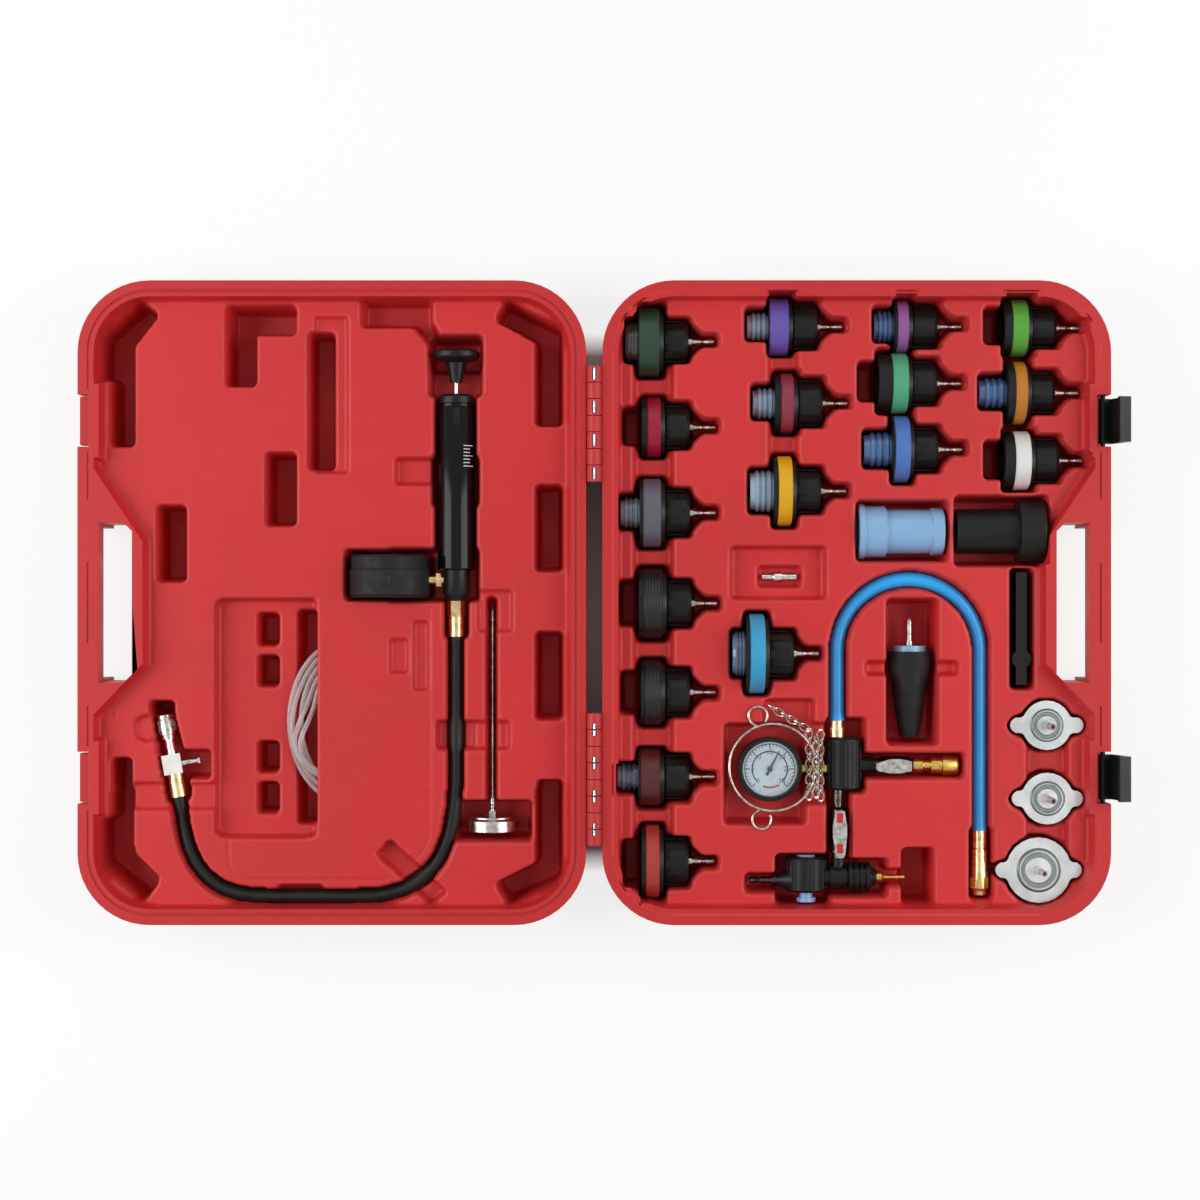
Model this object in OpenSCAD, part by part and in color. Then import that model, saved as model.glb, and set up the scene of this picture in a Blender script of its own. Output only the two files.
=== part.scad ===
// Radiator pressure tester and vacuum filling kit in a hinged, double-walled case.
// The case lies open and flat. The base is on +X, the lid on -X, the hinge runs along Y.
// Origin: centre of the underside. +Z is up. Units are millimetres.

/* [Case] */
// Width of one case half, across the hinge
half_w = 430; // [429:0.5:434]
// Length of one case half, along the hinge
half_d = 545; // [543:0.5:560]
// Height of the rim of one half
rim_h = 64; // [62:0.5:68]
// Height of the panel that holds the pockets
panel_h = 50; // [49:0.5:52]
// Corner radius seen from above
corner_r = 61; // [50:1:64]
// Bevel along the underside
foot_bevel = 7; // [3:0.5:10]
// Wall of the double-walled shell
wall = 3; // [2:0.1:3.2]
// Width of the raised rim band
rim_band = 13.5; // [11:0.5:14]
// Distance of the seal groove from the outer edge
groove_in = 8; // [6:0.5:9]
// Width of the seal groove
groove_w = 1.6; // [1:0.1:2.5]
// Depth of the seal groove
groove_depth = 1.2; // [0.6:0.1:2]

/* [Hinge] */
// Distance from each half's wall to the hinge axis
hinge_gap = 6.8; // [6.5:0.1:8]
// Radius of a hinge knuckle
knuckle_r = 6.2; // [5:0.1:6.2]
// Length of one knuckle
knuckle_len = 14; // [10:0.5:14.5]
// Play between neighbouring knuckles
knuckle_play = 0.5; // [0.3:0.1:1]
// Radius of the hinge pins
pin_r = 1.5; // [1.2:0.1:2.2]
// Gap between the two rims when the case is shut
closed_gap = 0.3; // [0.3:0.1:0.8]

/* [Handle] */
// Width of each carry-handle opening
handle_gap = 28; // [24:1:29]
// Length of each carry-handle opening
handle_len = 135; // [110:1:138]
// Width of the handle bar
handle_bar = 18; // [15:0.5:20]
// Height of the handle bar
handle_bar_h = 20; // [16:1:26]

/* [Latches] */
// Width of a latch
latch_w = 38; // [30:1:42]
// Height of the latch pivot above the floor
latch_pivot_h = 52; // [50:0.5:54]
// Depth of the notch that holds the latch
latch_notch = 12; // [11.5:0.5:13]
// Distance of the latch pivot from the outer wall
latch_pivot_in = 4.5; // [4:0.1:4.8]
// Radius of the latch barrel
latch_barrel_r = 4; // [3.2:0.1:4]
// Radius of the moulded trunnions
latch_trunnion_r = 2; // [1.5:0.1:2.5]
// Thickness of the latch plate
latch_plate = 4; // [3:0.1:5]
// Thickness of the hook lip
latch_lip = 4; // [3:0.1:5]
// Depth of the lug that the hook catches
lug_depth = 8; // [7:0.5:8.5]
// Height of the lug
lug_h = 12; // [8:0.5:14]

/* [Pockets] */
// Running clearance round a piece in its pocket
pocket_play = 1.5; // [1:0.1:2]
// Gap between a seated piece and the floor under it
seat_gap = 0.3; // [0.3:0.05:0.6]
// Floor of the deepest pockets
deep_floor = 3; // [3:0.1:3.2]
// Floor under adapter grips, sleeves and the cone
grip_floor = 8; // [7:0.5:8.5]
// Floor under adapter nozzles and the vacuum tool
nozzle_floor = 20; // [19:0.5:20.5]
// Floor of the blue hose channel
hose_floor = 29; // [28:0.5:30]
// Floor of the shallow channels in the base
channel_floor = 38; // [37:0.5:39]
// Floor under the pump barrel
barrel_floor = 21; // [19:0.5:21.3]
// Floor of the black hose channel in the lid
lid_hose_floor = 31; // [30:0.5:31.2]
// Floor of the tray that the clear tube lies on
tray_floor = 36; // [35.5:0.1:36.5]
// Floor of the finger recesses in the lid
finger_floor = 44.5; // [44.5:0.1:46]

/* [Adapters] */
// Length of the black grip of an adapter
grip_len = 21.5; // [18:0.5:22]
// Length of the quick-connect nipple
nipple_len = 23; // [18:0.5:23.5]
// Radius of the nipple stem
nipple_r = 2.7; // [2:0.1:3.2]
// Radius of the nipple collar
nipple_collar_r = 4; // [3.4:0.1:4.2]
// Thickness of the black plate behind the colour ring
back_w = 3.5; // [2:0.1:5]
// Depth of the threaded cup of a female adapter
cup_depth = 12; // [8:0.5:13]
// Wall of the threaded cup
cup_wall = 4; // [3:0.1:5]
// Clearance between the pieces of one adapter
fit_gap = 0.1; // [0.05:0.01:0.2]

/* [Pump] */
// Radius of the pump barrel
barrel_r = 16; // [14:0.5:16]
// Length of the pump barrel
barrel_len = 142; // [136:0.5:142]
// Wall of the pump barrel
barrel_wall = 2.5; // [2:0.1:3]
// Radius of the pull rod
rod_r = 1.9; // [1.5:0.1:2.5]
// Radius of the knob
knob_r = 20; // [16:0.5:20]
// Radius of the rubber gauge boot
gauge_r = 34.2; // [33:0.1:35]
// Thickness of the rubber gauge boot
gauge_depth = 36.5; // [30:0.5:37]
// Radius of the black hose
black_hose_r = 6; // [5:0.1:6]

/* [Thermometer and clear tube] */
// Radius of the thermometer head
thermo_r = 21.7; // [19:0.1:22]
// Thickness of the thermometer head
thermo_head = 12.8; // [9:0.1:14]
// Length of the thermometer stem
thermo_stem = 181; // [150:1:182]
// Radius of the thermometer stem
thermo_stem_r = 2.1; // [1.5:0.1:2.4]
// Radius of the clear tube
tube_r = 2.1; // [1.7:0.1:2.1]
// Pitch between neighbouring loops of the clear tube
tube_pitch = 5; // [4.8:0.05:5.4]
// Number of loops of the clear tube
tube_loops = 5; // [3:1:6]
// Half width of the outermost loop
tube_half_x = 50; // [46:1:51]
// Half length of the outermost loop
tube_half_y = 70; // [60:1:70]

/* [Vacuum tool] */
// Radius of the vacuum gauge case
vac_gauge_r = 27.4; // [25:0.1:28]
// Radius of the manifold grip
manifold_r = 14.5; // [12:0.5:15]
// Radius of the venturi body
venturi_r = 17; // [14:0.5:18]
// Radius of the blue hose
blue_hose_r = 6.35; // [5.5:0.05:6.5]
// Radius of the arch of the blue hose
arch_r = 61; // [60:0.5:61.5]
// Radius of the hook ring
ring_r = 37; // [34:0.5:38]
// Radius of the hook wire
wire_r = 1.1; // [0.8:0.1:1.4]
// Radius of a chain link
link_r = 3.2; // [3:0.1:3.5]
// Radius of the chain wire
link_wire = 0.9; // [0.6:0.1:0.9]

/* [Caps, sleeves and plug] */
// Radius of the small, medium and large radiator cap
cap_r = [21.1, 22, 27.9]; // [15:0.1:28]
// Half span over the ears of the three caps
cap_span = [31.2, 30.4, 36.8]; // [20:0.1:37]
// Length of the nipple that stands on a radiator cap
cap_nipple_len = 22; // [18:0.5:22]
// Height of a radiator cap over its valve
cap_h = 28; // [24:0.5:30]
// Radius of the lip of the blue sleeve
sleeve_lip_r = 23.8; // [22:0.1:24]
// Radius of the large end of the black sleeve
sleeve_big_r = 27.1; // [24:0.1:27.5]
// Bore radius of both sleeves
sleeve_bore_r = 15; // [12:0.5:16]
// Radius of the large end of the rubber cone
cone_r = 19; // [16:0.5:19.5]
// Length of the rubber cone
cone_len = 73; // [60:1:73]
// Length of the spanner
spanner_len = 96; // [80:1:97]
// Thickness of the spanner
spanner_t = 9; // [6:0.5:12]

/* [Hidden] */
$fn = 48;

red = "#c83232";
black = "#1c1c1e";
steel = "#c9ccd0";
brass = "#c9a24e";

latch_out = 2 * hinge_gap;
hinge_x = -hinge_gap;
hinge_z = rim_h + closed_gap / 2;
lid_edge = -2 * hinge_gap;
latch_ys = [154, -148];
notch_half = latch_w / 2 + 3;
over = 1;

// ---------------------------------------------------------------- helpers

// A box between two corners, from above.
module area(x0, y0, x1, y1) translate([min(x0, x1), min(y0, y1)]) square([abs(x1 - x0), abs(y1 - y0)]);

// A flat prism over a plan shape. The outer offset keeps the outline one clean loop.
module prism(z0, z1) translate([0, 0, z0]) linear_extrude(z1 - z0) offset(delta = 0.001) children();

// A turned piece along +X, with its profile given as [along, radius] points.
module turned_x(points) rotate([0, 90, 0]) rotate_extrude() polygon([for (p = points) [p[1], p[0]]]);

// A turned piece along +Y.
module turned_y(points) rotate([-90, 0, 0]) rotate_extrude() polygon([for (p = points) [p[1], p[0]]]);

// A turned piece along +Z.
module turned_z(points) rotate_extrude() polygon([for (p = points) [p[1], p[0]]]);

// A wire ring lying flat, or an arc of it.
module wire(r, thick, sweep = 360) rotate_extrude(angle = sweep) translate([r, 0]) circle(thick, $fn = 16);

function unit(v) = v / norm(v);
function run_at(p, i) = unit(p[min(i + 1, len(p) - 1)] - p[max(i - 1, 0)]);

// The outline of a channel that follows a route at a half width.
function strip(p, w) = concat(
    [for (i = [0 : len(p) - 1]) let(d = run_at(p, i)) [p[i][0] - d[1] * w, p[i][1] + d[0] * w]],
    [for (i = [len(p) - 1 : -1 : 0]) let(d = run_at(p, i)) [p[i][0] + d[1] * w, p[i][1] - d[0] * w]]);

// A round tube swept along a flat route at height z.
module swept(p, z, r, sides) {
    n = len(p);
    points = [for (i = [0 : n - 1]) let(d = run_at(p, i), s = [d[1], -d[0], 0])
        for (k = [0 : sides - 1]) let(a = 360 * (k + 0.5) / sides)
            [p[i][0], p[i][1], z] + r * cos(a) * s + [0, 0, r * sin(a)]];
    caps = [[for (k = [sides - 1 : -1 : 0]) k], [for (k = [0 : sides - 1]) (n - 1) * sides + k]];
    skin = [for (i = [0 : n - 2]) for (k = [0 : sides - 1]) let(j = (k + 1) % sides)
        each [[i * sides + k, i * sides + j, (i + 1) * sides + j],
              [i * sides + k, (i + 1) * sides + j, (i + 1) * sides + k]]];
    polyhedron(points = points, faces = concat(caps, skin), convexity = 8);
}

// ---------------------------------------------------------------- adapters

// Each row: [grip start X, Y, ring radius, ring width, front width, insert radius, insert length,
//            grip radius, ring colour, insert colour]. An insert length of 0 is a female adapter.
ADAPTERS = [
    [52, 223.7, 29.4, 17.5, 0.6, 17.1, 10.5, 17.5, "#233c2d", "#77787c"],
    [53.4, 150.6, 25.7, 11.6, 4.5, 0, 0, 18.4, "#960f2d", black],
    [53.4, 77, 29.4, 15.1, 2.9, 13.3, 16.3, 19.2, "#55555f", "#7896af"],
    [54.6, -0.6, 30, 16.4, 3.5, 0, 0, 19.2, black, black],
    [53.4, -76.9, 28.2, 14, 3, 0, 0, 19.7, "#242426", black],
    [52.8, -149.6, 24.8, 17, 1.5, 12, 17.7, 18.8, "#461e1e", "#8c9096"],
    [52, -221.5, 31.2, 11.4, 3.5, 0, 0, 19.9, "#7d2823", black],
    [162.4, 239 - 2, 24.8, 16.3, 0.6, 12.4, 18, 19.5, "#5f4b9b", "#7896af"],
    [166.7, 171.2, 25.7, 10.8, 5, 13.5, 18.5, 19.5, "#7d2d41", "#7896af"],
    [165, 95.6, 30.1, 12, 3.4, 18, 19.9, 18.5, "#cd9614", "#7896af"],
    [141.4, -43.5, 34.2, 12.8, 2.9, 19.5, 11.3, 19.7, "#3c96be", "#2d5f96"],
    [265.1, 237.3, 22.8, 9.4, 2.6, 14, 16.7, 18, "#8c5596", "#4673aa"],
    [264.3, 188.2, 25.9, 13.4, 11.8, 0, 0, 18.6, "#4ba078", black],
    [265.1, 131.3, 28.8, 12.8, 1.5, 14.9, 23.7, 18.2, "#4b73b9", "#4673aa"],
    [366.7, 236, 24.6, 13.4, 6.8, 0, 0, 17.1, "#509b37", black],
    [365, 180, 27, 10, 6, 13.1, 23.1, 17.1, "#b97323", "#4673aa"],
    [368.7, 122, 25.5, 13.4, 8.6, 0, 0, 18.7, "#e1e1e1", black]
];
function flange_len(a) = back_w + a[3] + a[4];
function axis_z(a) = deep_floor + seat_gap + a[2];
female_pocket = 15;

// The black body: grip, back plate and the spigot that carries the ring.
module adapter_body(a) {
    front = -flange_len(a);
    cup = a[6] == 0;
    spigot = a[2] - 5;
    difference() {
        union() {
            turned_x([[0, 0], [0, a[7] - 1.5], [2, a[7] - 0.4], [grip_len - 3, a[7] - 0.4],
                      [grip_len, a[7] - 3], [grip_len, 0]]);
            turned_x([[front, 0], [front, a[2] - 0.8], [front + a[4] - fit_gap, a[2] - 0.8],
                      [front + a[4] - fit_gap, spigot], [-back_w + fit_gap, spigot],
                      [-back_w + fit_gap, a[2] * 0.92], [0, a[2] * 0.92 - 1.5], [0, 0]]);
            for (k = [0 : 7]) rotate([45 * k, 0, 0]) translate([1.5, a[7] - 4, -3.4]) cube([grip_len - 5, 4, 6.8]);
        }
        if (cup) translate([front - over, 0, 0]) rotate([0, 90, 0])
            cylinder(r = spigot - cup_wall, h = min(cup_depth, flange_len(a) - 2) + over);
        translate([grip_len - 4, 0, 0]) rotate([0, 90, 0]) cylinder(r = nipple_collar_r + fit_gap, h = 5);
    }
}

// The coloured identification ring.
module adapter_ring(a) {
    back = -back_w;
    turned_x([[back - a[3], a[2] - 5 + fit_gap], [back - a[3], a[2] - 1], [back - a[3] + 1, a[2]],
              [back - 1, a[2]], [back, a[2] - 1], [back, a[2] - 5 + fit_gap]]);
}

// The insert that seals in the filler neck, with its ribs or thread.
module adapter_insert(a) {
    front = -flange_len(a) - fit_gap;
    l = a[6] - fit_gap;
    ribs = 3;
    pitch = l / (ribs + 1);
    turned_x(concat([[front, 0], [front, a[5] - 1.5]],
        [for (k = [0 : ribs - 1]) each [[front - (k + 0.35) * pitch, a[5] - 1.5],
            [front - (k + 0.5) * pitch, a[5]], [front - (k + 1) * pitch, a[5]],
            [front - (k + 1.1) * pitch, a[5] - 1.5]]],
        [[front - l, a[5] - 2.5], [front - l, 0]]));
}

// The steel quick-connect nipple.
module nipple(l, r, collar) {
    turned_x([[0, 0], [0, collar], [4 + 3, collar], [4 + 3, r + 0.4], [4 + l * 0.45, r], [4 + l * 0.5, r * 0.72],
              [4 + l * 0.62, r * 0.72], [4 + l * 0.68, r], [4 + l - 1.2, r], [4 + l, r - 0.9], [4 + l, 0]]);
}

module adapter(i) {
    a = ADAPTERS[i];
    translate([a[0], a[1], axis_z(a)]) {
        color(black) adapter_body(a);
        color(a[8]) adapter_ring(a);
        if (a[6] > 0) color(a[9]) adapter_insert(a);
        color(steel) translate([grip_len - 4 + fit_gap, 0, 0]) nipple(nipple_len - fit_gap, nipple_r, nipple_collar_r);
    }
}

module adapter_deep(a) translate([a[0], a[1]])
    area(-flange_len(a) - pocket_play, -a[2] - pocket_play, pocket_play, a[2] + pocket_play);

module adapter_mid(a) translate([a[0], a[1]]) {
    area(0, -a[7] - pocket_play, grip_len + pocket_play, a[7] + pocket_play);
    reach = flange_len(a) + (a[6] > 0 ? a[6] : female_pocket) + pocket_play;
    side = a[6] > 0 ? a[5] + pocket_play : a[2] * 0.62;
    area(-reach, -side, 0, side);
}

module adapter_slot(a) translate([a[0] + grip_len, a[1]]) {
    side = nipple_collar_r + pocket_play;
    area(0, -side, nipple_len + pocket_play, side);
    polygon([[0, -side - 9], [pocket_play, -side - 9], [pocket_play + 9, -side],
             [pocket_play + 9, side], [pocket_play, side + 9], [0, side + 9]]);
}

// ---------------------------------------------------------------- places of the loose pieces

sleeve_y = 61;
sleeve_blue_x = 219;
sleeve_black_x = 302;
sleeve_len = [73, 75];
fitting_at = [137, 22];
fitting_r = 4.6;
fitting_len = 30;
cone_at = [264, -115];
spanner_at = [357, 26];
spanner_h = 40;
spanner_hub_r = 8;
spanner_hub_y = -74;
cap_at = [[379, -104.5], [379.5, -167], [372, -228]];
vac_at = [143, -142];
vac_gauge_top = 48;
manifold_at = [207.5, -115];
manifold_len = 45;
tool_z = hose_floor + seat_gap + blue_hose_r;
valve_at = [250, -139];
valve_low_at = [202, -194];
venturi_at = [174.5, -217];
venturi_len = 30;
tip_y = -235;
arch_at = [262, -41];
hose_left_x = arch_at[0] - arch_r;
hose_right_x = arch_at[0] + arch_r;
hose_left_end = manifold_at[1] + 14;
hose_right_end = -195;
coupler_len = 55;
coupler_r = 7.6;
lever_z = panel_h + 1;
gauge_stem_y = valve_at[1] - 3;
stem_r = 4;

pump_x = -125;
pump_z = deep_floor + seat_gap + gauge_r;
barrel_y = 28;
end_cap_len = 8;
neck_gap = 10;
knob_len = 29;
knob_neck = 17;
neck_end = barrel_y + barrel_len + end_cap_len + neck_gap;
knob_top = neck_end + knob_len;
plunger_travel = 7;
gauge_x = -182;
gauge_y = 4.3;
valve_block_r = 11.5;
nut_r = 8;
ferrule_r = black_hose_r + 0.8;
black_ferrule_y = -29;
tee_at = [-362, -166];
tee_tilt = 10;
thermo_x = -94.5;
thermo_y = -197;
thermo_z = deep_floor + seat_gap + thermo_r;
tube_at = [-219, -102.5];
tube_z = tray_floor + seat_gap + tube_r;

function at_tee(u, v) = [tee_at[0] + u * cos(tee_tilt) - v * sin(tee_tilt),
                         tee_at[1] + u * sin(tee_tilt) + v * cos(tee_tilt)];

// Route of the black hose, chosen by hand, from the pump ferrule to the tee.
BLACK_ROUTE = [
    [-125, -29], [-125, -60], [-125, -95], [-125, -126], [-125, -152], [-127, -176], [-131, -198],
    [-139, -218], [-151, -233], [-168, -244], [-189, -250], [-213, -251], [-249, -251], [-285, -251],
    [-309, -249], [-326, -243], [-339, -233], [-348, -221], [-354, -207], [-358, -191],
    at_tee(0, -9), at_tee(0, 0)
];

// ---------------------------------------------------------------- the case

module base_outline(inset = 0) translate([half_w / 2, 0]) offset(r = corner_r - inset)
    square([half_w - 2 * corner_r, half_d - 2 * corner_r], center = true);

module lid_outline(inset = 0) translate([lid_edge - half_w / 2, 0]) offset(r = corner_r - inset)
    square([half_w - 2 * corner_r, half_d - 2 * corner_r], center = true);

hole_x = half_w - handle_bar - handle_gap;
island = handle_len / 2;

// The carry-handle opening, drawn for the base. The lid mirrors it.
module handle_hole() {
    c = 7;
    polygon([[hole_x + c, -island], [half_w - handle_bar, -island], [half_w - handle_bar, island],
             [hole_x + c, island], [hole_x, island - c], [hole_x, -island + c]]);
}

// The hollow under the handle bar, open to the outside.
module bar_recess() area(half_w - handle_bar - over, -island + 3, half_w + over, island - 3);

// Rim-level land round the handle and the latches.
module lands() {
    polygon([[half_w, -island - 34], [half_w - 7, -island - 34], [hole_x - 9, -island + 16],
             [hole_x - 9, island - 16], [half_w - 7, island + 56], [half_w, island + 56]]);
    for (y = latch_ys) area(half_w - 18, y - notch_half - 9, half_w, y + notch_half + 9);
}

module mirror_half() translate([lid_edge, 0]) mirror([1, 0]) children();

module base_panel() difference() {
    base_outline(rim_band);
    lands();
}

module lid_panel() difference() {
    lid_outline(rim_band);
    mirror_half() lands();
}

module cap_outline(i, play = 0) translate(cap_at[i]) offset(r = play) offset(r = -5, $fn = 24) offset(delta = 5) {
    circle(cap_r[i]);
    square([2 * cap_span[i] - 12, 13], center = true);
    for (s = [-1, 1]) translate([s * (cap_span[i] - 6.5), 0]) circle(6.5, $fn = 24);
}

module base_deep() {
    for (a = ADAPTERS) adapter_deep(a);
    area(256, -257, 281, -210);
}

module base_grip() {
    for (a = ADAPTERS) adapter_mid(a);
    area(sleeve_blue_x - pocket_play, sleeve_y - sleeve_lip_r - pocket_play,
         sleeve_blue_x + sleeve_len[0] + pocket_play, sleeve_y + sleeve_lip_r + pocket_play);
    area(sleeve_black_x - pocket_play, sleeve_y - sleeve_big_r - pocket_play,
         sleeve_black_x + sleeve_len[1] + pocket_play, sleeve_y + sleeve_big_r + pocket_play);
    area(cone_at[0] - cone_r - pocket_play, cone_at[1] - 5, cone_at[0] + cone_r + pocket_play, 2);
    area(spanner_at[0] - spanner_hub_r - 1, spanner_at[1] - spanner_len - 3,
         spanner_at[0] + spanner_hub_r + 1, spanner_at[1] + 2);
    area(venturi_at[0] - venturi_r - pocket_play - 8, -257.5, venturi_at[0] + venturi_r + pocket_play, -215.5);
}

module base_nozzle() {
    for (a = ADAPTERS) adapter_slot(a);
    for (i = [0 : 2]) cap_outline(i, pocket_play);
    area(105, -188, vac_at[0] + vac_gauge_r + 2, -104);
    area(manifold_at[0] - manifold_r - pocket_play, manifold_at[1] - manifold_len - pocket_play,
         manifold_at[0] + manifold_r + pocket_play, hose_left_end + 2);
    area(manifold_at[0], valve_at[1] - 10.5, 307, valve_at[1] + 10.5);
    area(192.5, -224, 211.5, -158);
    area(122, -246, 160, -232);
    area(190, tip_y - 15.5, 242, tip_y + 15.5);
    area(240, tip_y - 7, 260, tip_y + 7);
    area(hose_right_x - 9.5, hose_right_end - coupler_len - 3, hose_right_x + 9.5, hose_right_end + 2);
}

module base_hose() {
    w = blue_hose_r + 0.9;
    area(hose_left_x - w, hose_left_end - 1, hose_left_x + w, arch_at[1]);
    area(hose_right_x - w, hose_right_end - 1, hose_right_x + w, arch_at[1]);
    translate(arch_at) difference() {
        circle(arch_r + w, $fn = 72);
        circle(arch_r - w, $fn = 72);
        area(-arch_r - 20, -arch_r - 20, arch_r + 20, 0);
    }
    area(fitting_at[0] - 3, fitting_at[1] - 9, fitting_at[0] + fitting_len + 3, fitting_at[1] + 9);
    area(vac_at[0] + vac_gauge_r, gauge_stem_y - stem_r - 2, manifold_at[0] - manifold_r, gauge_stem_y + stem_r + 2);
}

module base_shallow() {
    area(27, -223, 60, 224);
    area(142, 90, 166, 240);
    area(243, 128, 262, 240);
    area(342, 118, 365, 240);
    area(362, -228, 396, -104);
    area(110, 4, 190, 47);
    area(225, -62, 302, -50);
    area(vac_at[0] + vac_gauge_r, -171, manifold_at[0] - manifold_r, -103);
    area(138, -105, 180, -83);
}

module lid_deep() {
    polygon([[-394, 256], [-379, 245], [-400, 218], [-400, 134], [-418, 134], [-418, 190], [-427, 190], [-427, 226]]);
    polygon([[-417, -134], [-402, -134], [-400, -213], [-378, -236], [-391, -254], [-427, -224], [-427, -187], [-418, -183]]);
    polygon([[-81, 257], [-90, 241], [-56, 223], [-56, 152], [-35, 152], [-35, 234]]);
    polygon([[-55, -152], [-34, -152], [-34, -237], [-79, -257], [-90, -240], [-56, -223]]);
    area(-319, 229, -262, 252);
    area(-319, 185, -296, 252);
    area(-249, 114, -229, 229);
    area(-286, 67, -262, 127);
    area(-378, 19, -356, 82);
    area(-294, -71, -278, -46);
    area(-294, -36, -278, -10);
    area(-294, -180, -278, -155);
    area(-294, -145, -278, -120);
    area(-260, -189, -245, -7);
    area(-56, 28, -34, 99);
    area(-56, -98, -34, -26);
    area(gauge_x - gauge_r - pocket_play, gauge_y - pocket_play, gauge_x + gauge_r + 0.5, gauge_y + gauge_depth + 3);
    area(thermo_x - thermo_r - 8, thermo_y - 5, thermo_x + thermo_r + 12, thermo_y + thermo_head + 14);
    area(-384, -95, -366, -85);
    area(pump_x - knob_r - pocket_play, knob_top - 18, pump_x + knob_r + pocket_play, knob_top + plunger_travel + 2);
}

module lid_barrel() {
    half = barrel_r + 0.8;
    area(pump_x - half, 4, pump_x + half, barrel_y + barrel_len + end_cap_len);
    area(pump_x - half - 3, 83, pump_x + half + 2, 124);
    area(gauge_x, 2, pump_x + half + 2, 45);
    area(pump_x - nut_r - 2, black_ferrule_y - 1, pump_x + nut_r + 2, 5);
    area(pump_x - knob_r - pocket_play, neck_end - 12, pump_x + knob_r + pocket_play, knob_top - 17);
    area(-204, 235, -146, 257);
    polygon([[-160, 235], [-146, 240], [-138, 225], [-146, 218]]);
    area(thermo_x - 4, thermo_y + 5, thermo_x + 4, thermo_y + thermo_head + thermo_stem + 7);
    polygon([for (p = [[-10, -2], [11, -2], [11, 42], [9, 74], [-9, 74], [-10, 42]]) at_tee(p[0], p[1])]);
    area(-360, -150, -334, -126);
}

module lid_hose() polygon(strip(BLACK_ROUTE, black_hose_r + 0.8));

module lid_tray() {
    offset(r = 8, $fn = 24) area(-322, -191, -252, -5);
    area(-262, -198, -245, 3);
}

module tube_hollow() area(-258, tube_at[1] - tube_half_y - tube_r - 2,
                          tube_at[0] + tube_half_x + tube_r + 1.2, tube_at[1] + tube_half_y + tube_r + 2);

module lid_finger() {
    area(-244, 110, -217, 243);
    area(-176, 101, pump_x - barrel_r, 123);
    area(-106, -25, -77, 10);
    area(-181, -60, -166, -31);
    area(-161, -75, -148, -16);
    area(-141, -125, -79, -101);
    area(-399, -176, -326, -154);
    area(-275, -240, -238, -230);
    polygon([[-181, -202], [-192, -214], [-146, -257], [-133, -246]]);
    translate([-388, -107]) circle(11, $fn = 32);
}

BASE_FLOORS = [deep_floor, grip_floor, nozzle_floor, hose_floor, channel_floor, panel_h, rim_h];
LID_FLOORS = [deep_floor, barrel_floor, lid_hose_floor, tray_floor, finger_floor, panel_h, rim_h];

// Everything that is open at floor number k or deeper.
module base_open(k) {
    base_deep();
    if (k >= 1) base_grip();
    if (k >= 2) base_nozzle();
    if (k >= 3) base_hose();
    if (k >= 4) base_shallow();
    if (k >= 5) base_panel();
}

module lid_open(k) {
    lid_deep();
    if (k >= 1) lid_barrel();
    if (k >= 2) lid_hose();
    if (k >= 3) lid_tray();
    if (k >= 4) lid_finger();
    if (k >= 5) lid_panel();
}

// What stays solid round the handle, the latch notches and the walls that carry the hinge.
module kept_solid() {
    offset(delta = wall) {
        handle_hole();
        bar_recess();
    }
    for (y = latch_ys) area(half_w - latch_notch - wall - 3, y - notch_half - 7, half_w, y + notch_half + 7);
}

module shell_block() hull() {
    translate([0, 0, foot_bevel]) linear_extrude(rim_h - foot_bevel) base_outline();
    linear_extrude(1) base_outline(foot_bevel);
}

module groove_line() difference() {
    base_outline(groove_in);
    base_outline(groove_in + groove_w);
    for (y = latch_ys) area(half_w - 18, y - notch_half - 5, half_w, y + notch_half + 5);
    area(hole_x - 20, -island - 20, half_w, -island / 2);
    area(hole_x - 20, island / 2, half_w, island + 20);
}

knuckle_rows = [[102, 7], [-205, 8]];
lug_reach = 28.3;

// Knuckles along the hinge: parity 0 belongs to the base, parity 1 to the lid.
module knuckles(parity) for (row = knuckle_rows) for (k = [parity : 2 : row[1] - 1])
    translate([hinge_x, row[0] + k * knuckle_len + knuckle_play / 2, hinge_z]) rotate([-90, 0, 0])
        cylinder(r = knuckle_r, h = knuckle_len - knuckle_play);

module knuckle_arms(parity, side) for (row = knuckle_rows) for (k = [parity : 2 : row[1] - 1])
    translate([min(hinge_x, hinge_x + side * (hinge_gap + over)), row[0] + k * knuckle_len + knuckle_play / 2,
               hinge_z - knuckle_r]) cube([hinge_gap + over, knuckle_len - knuckle_play, knuckle_r - 0.8]);

module pin_bores() for (row = knuckle_rows) translate([hinge_x, row[0] - over, hinge_z]) rotate([-90, 0, 0])
    cylinder(r = pin_r + 0.05, h = row[1] * knuckle_len + 2 * over);

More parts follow.
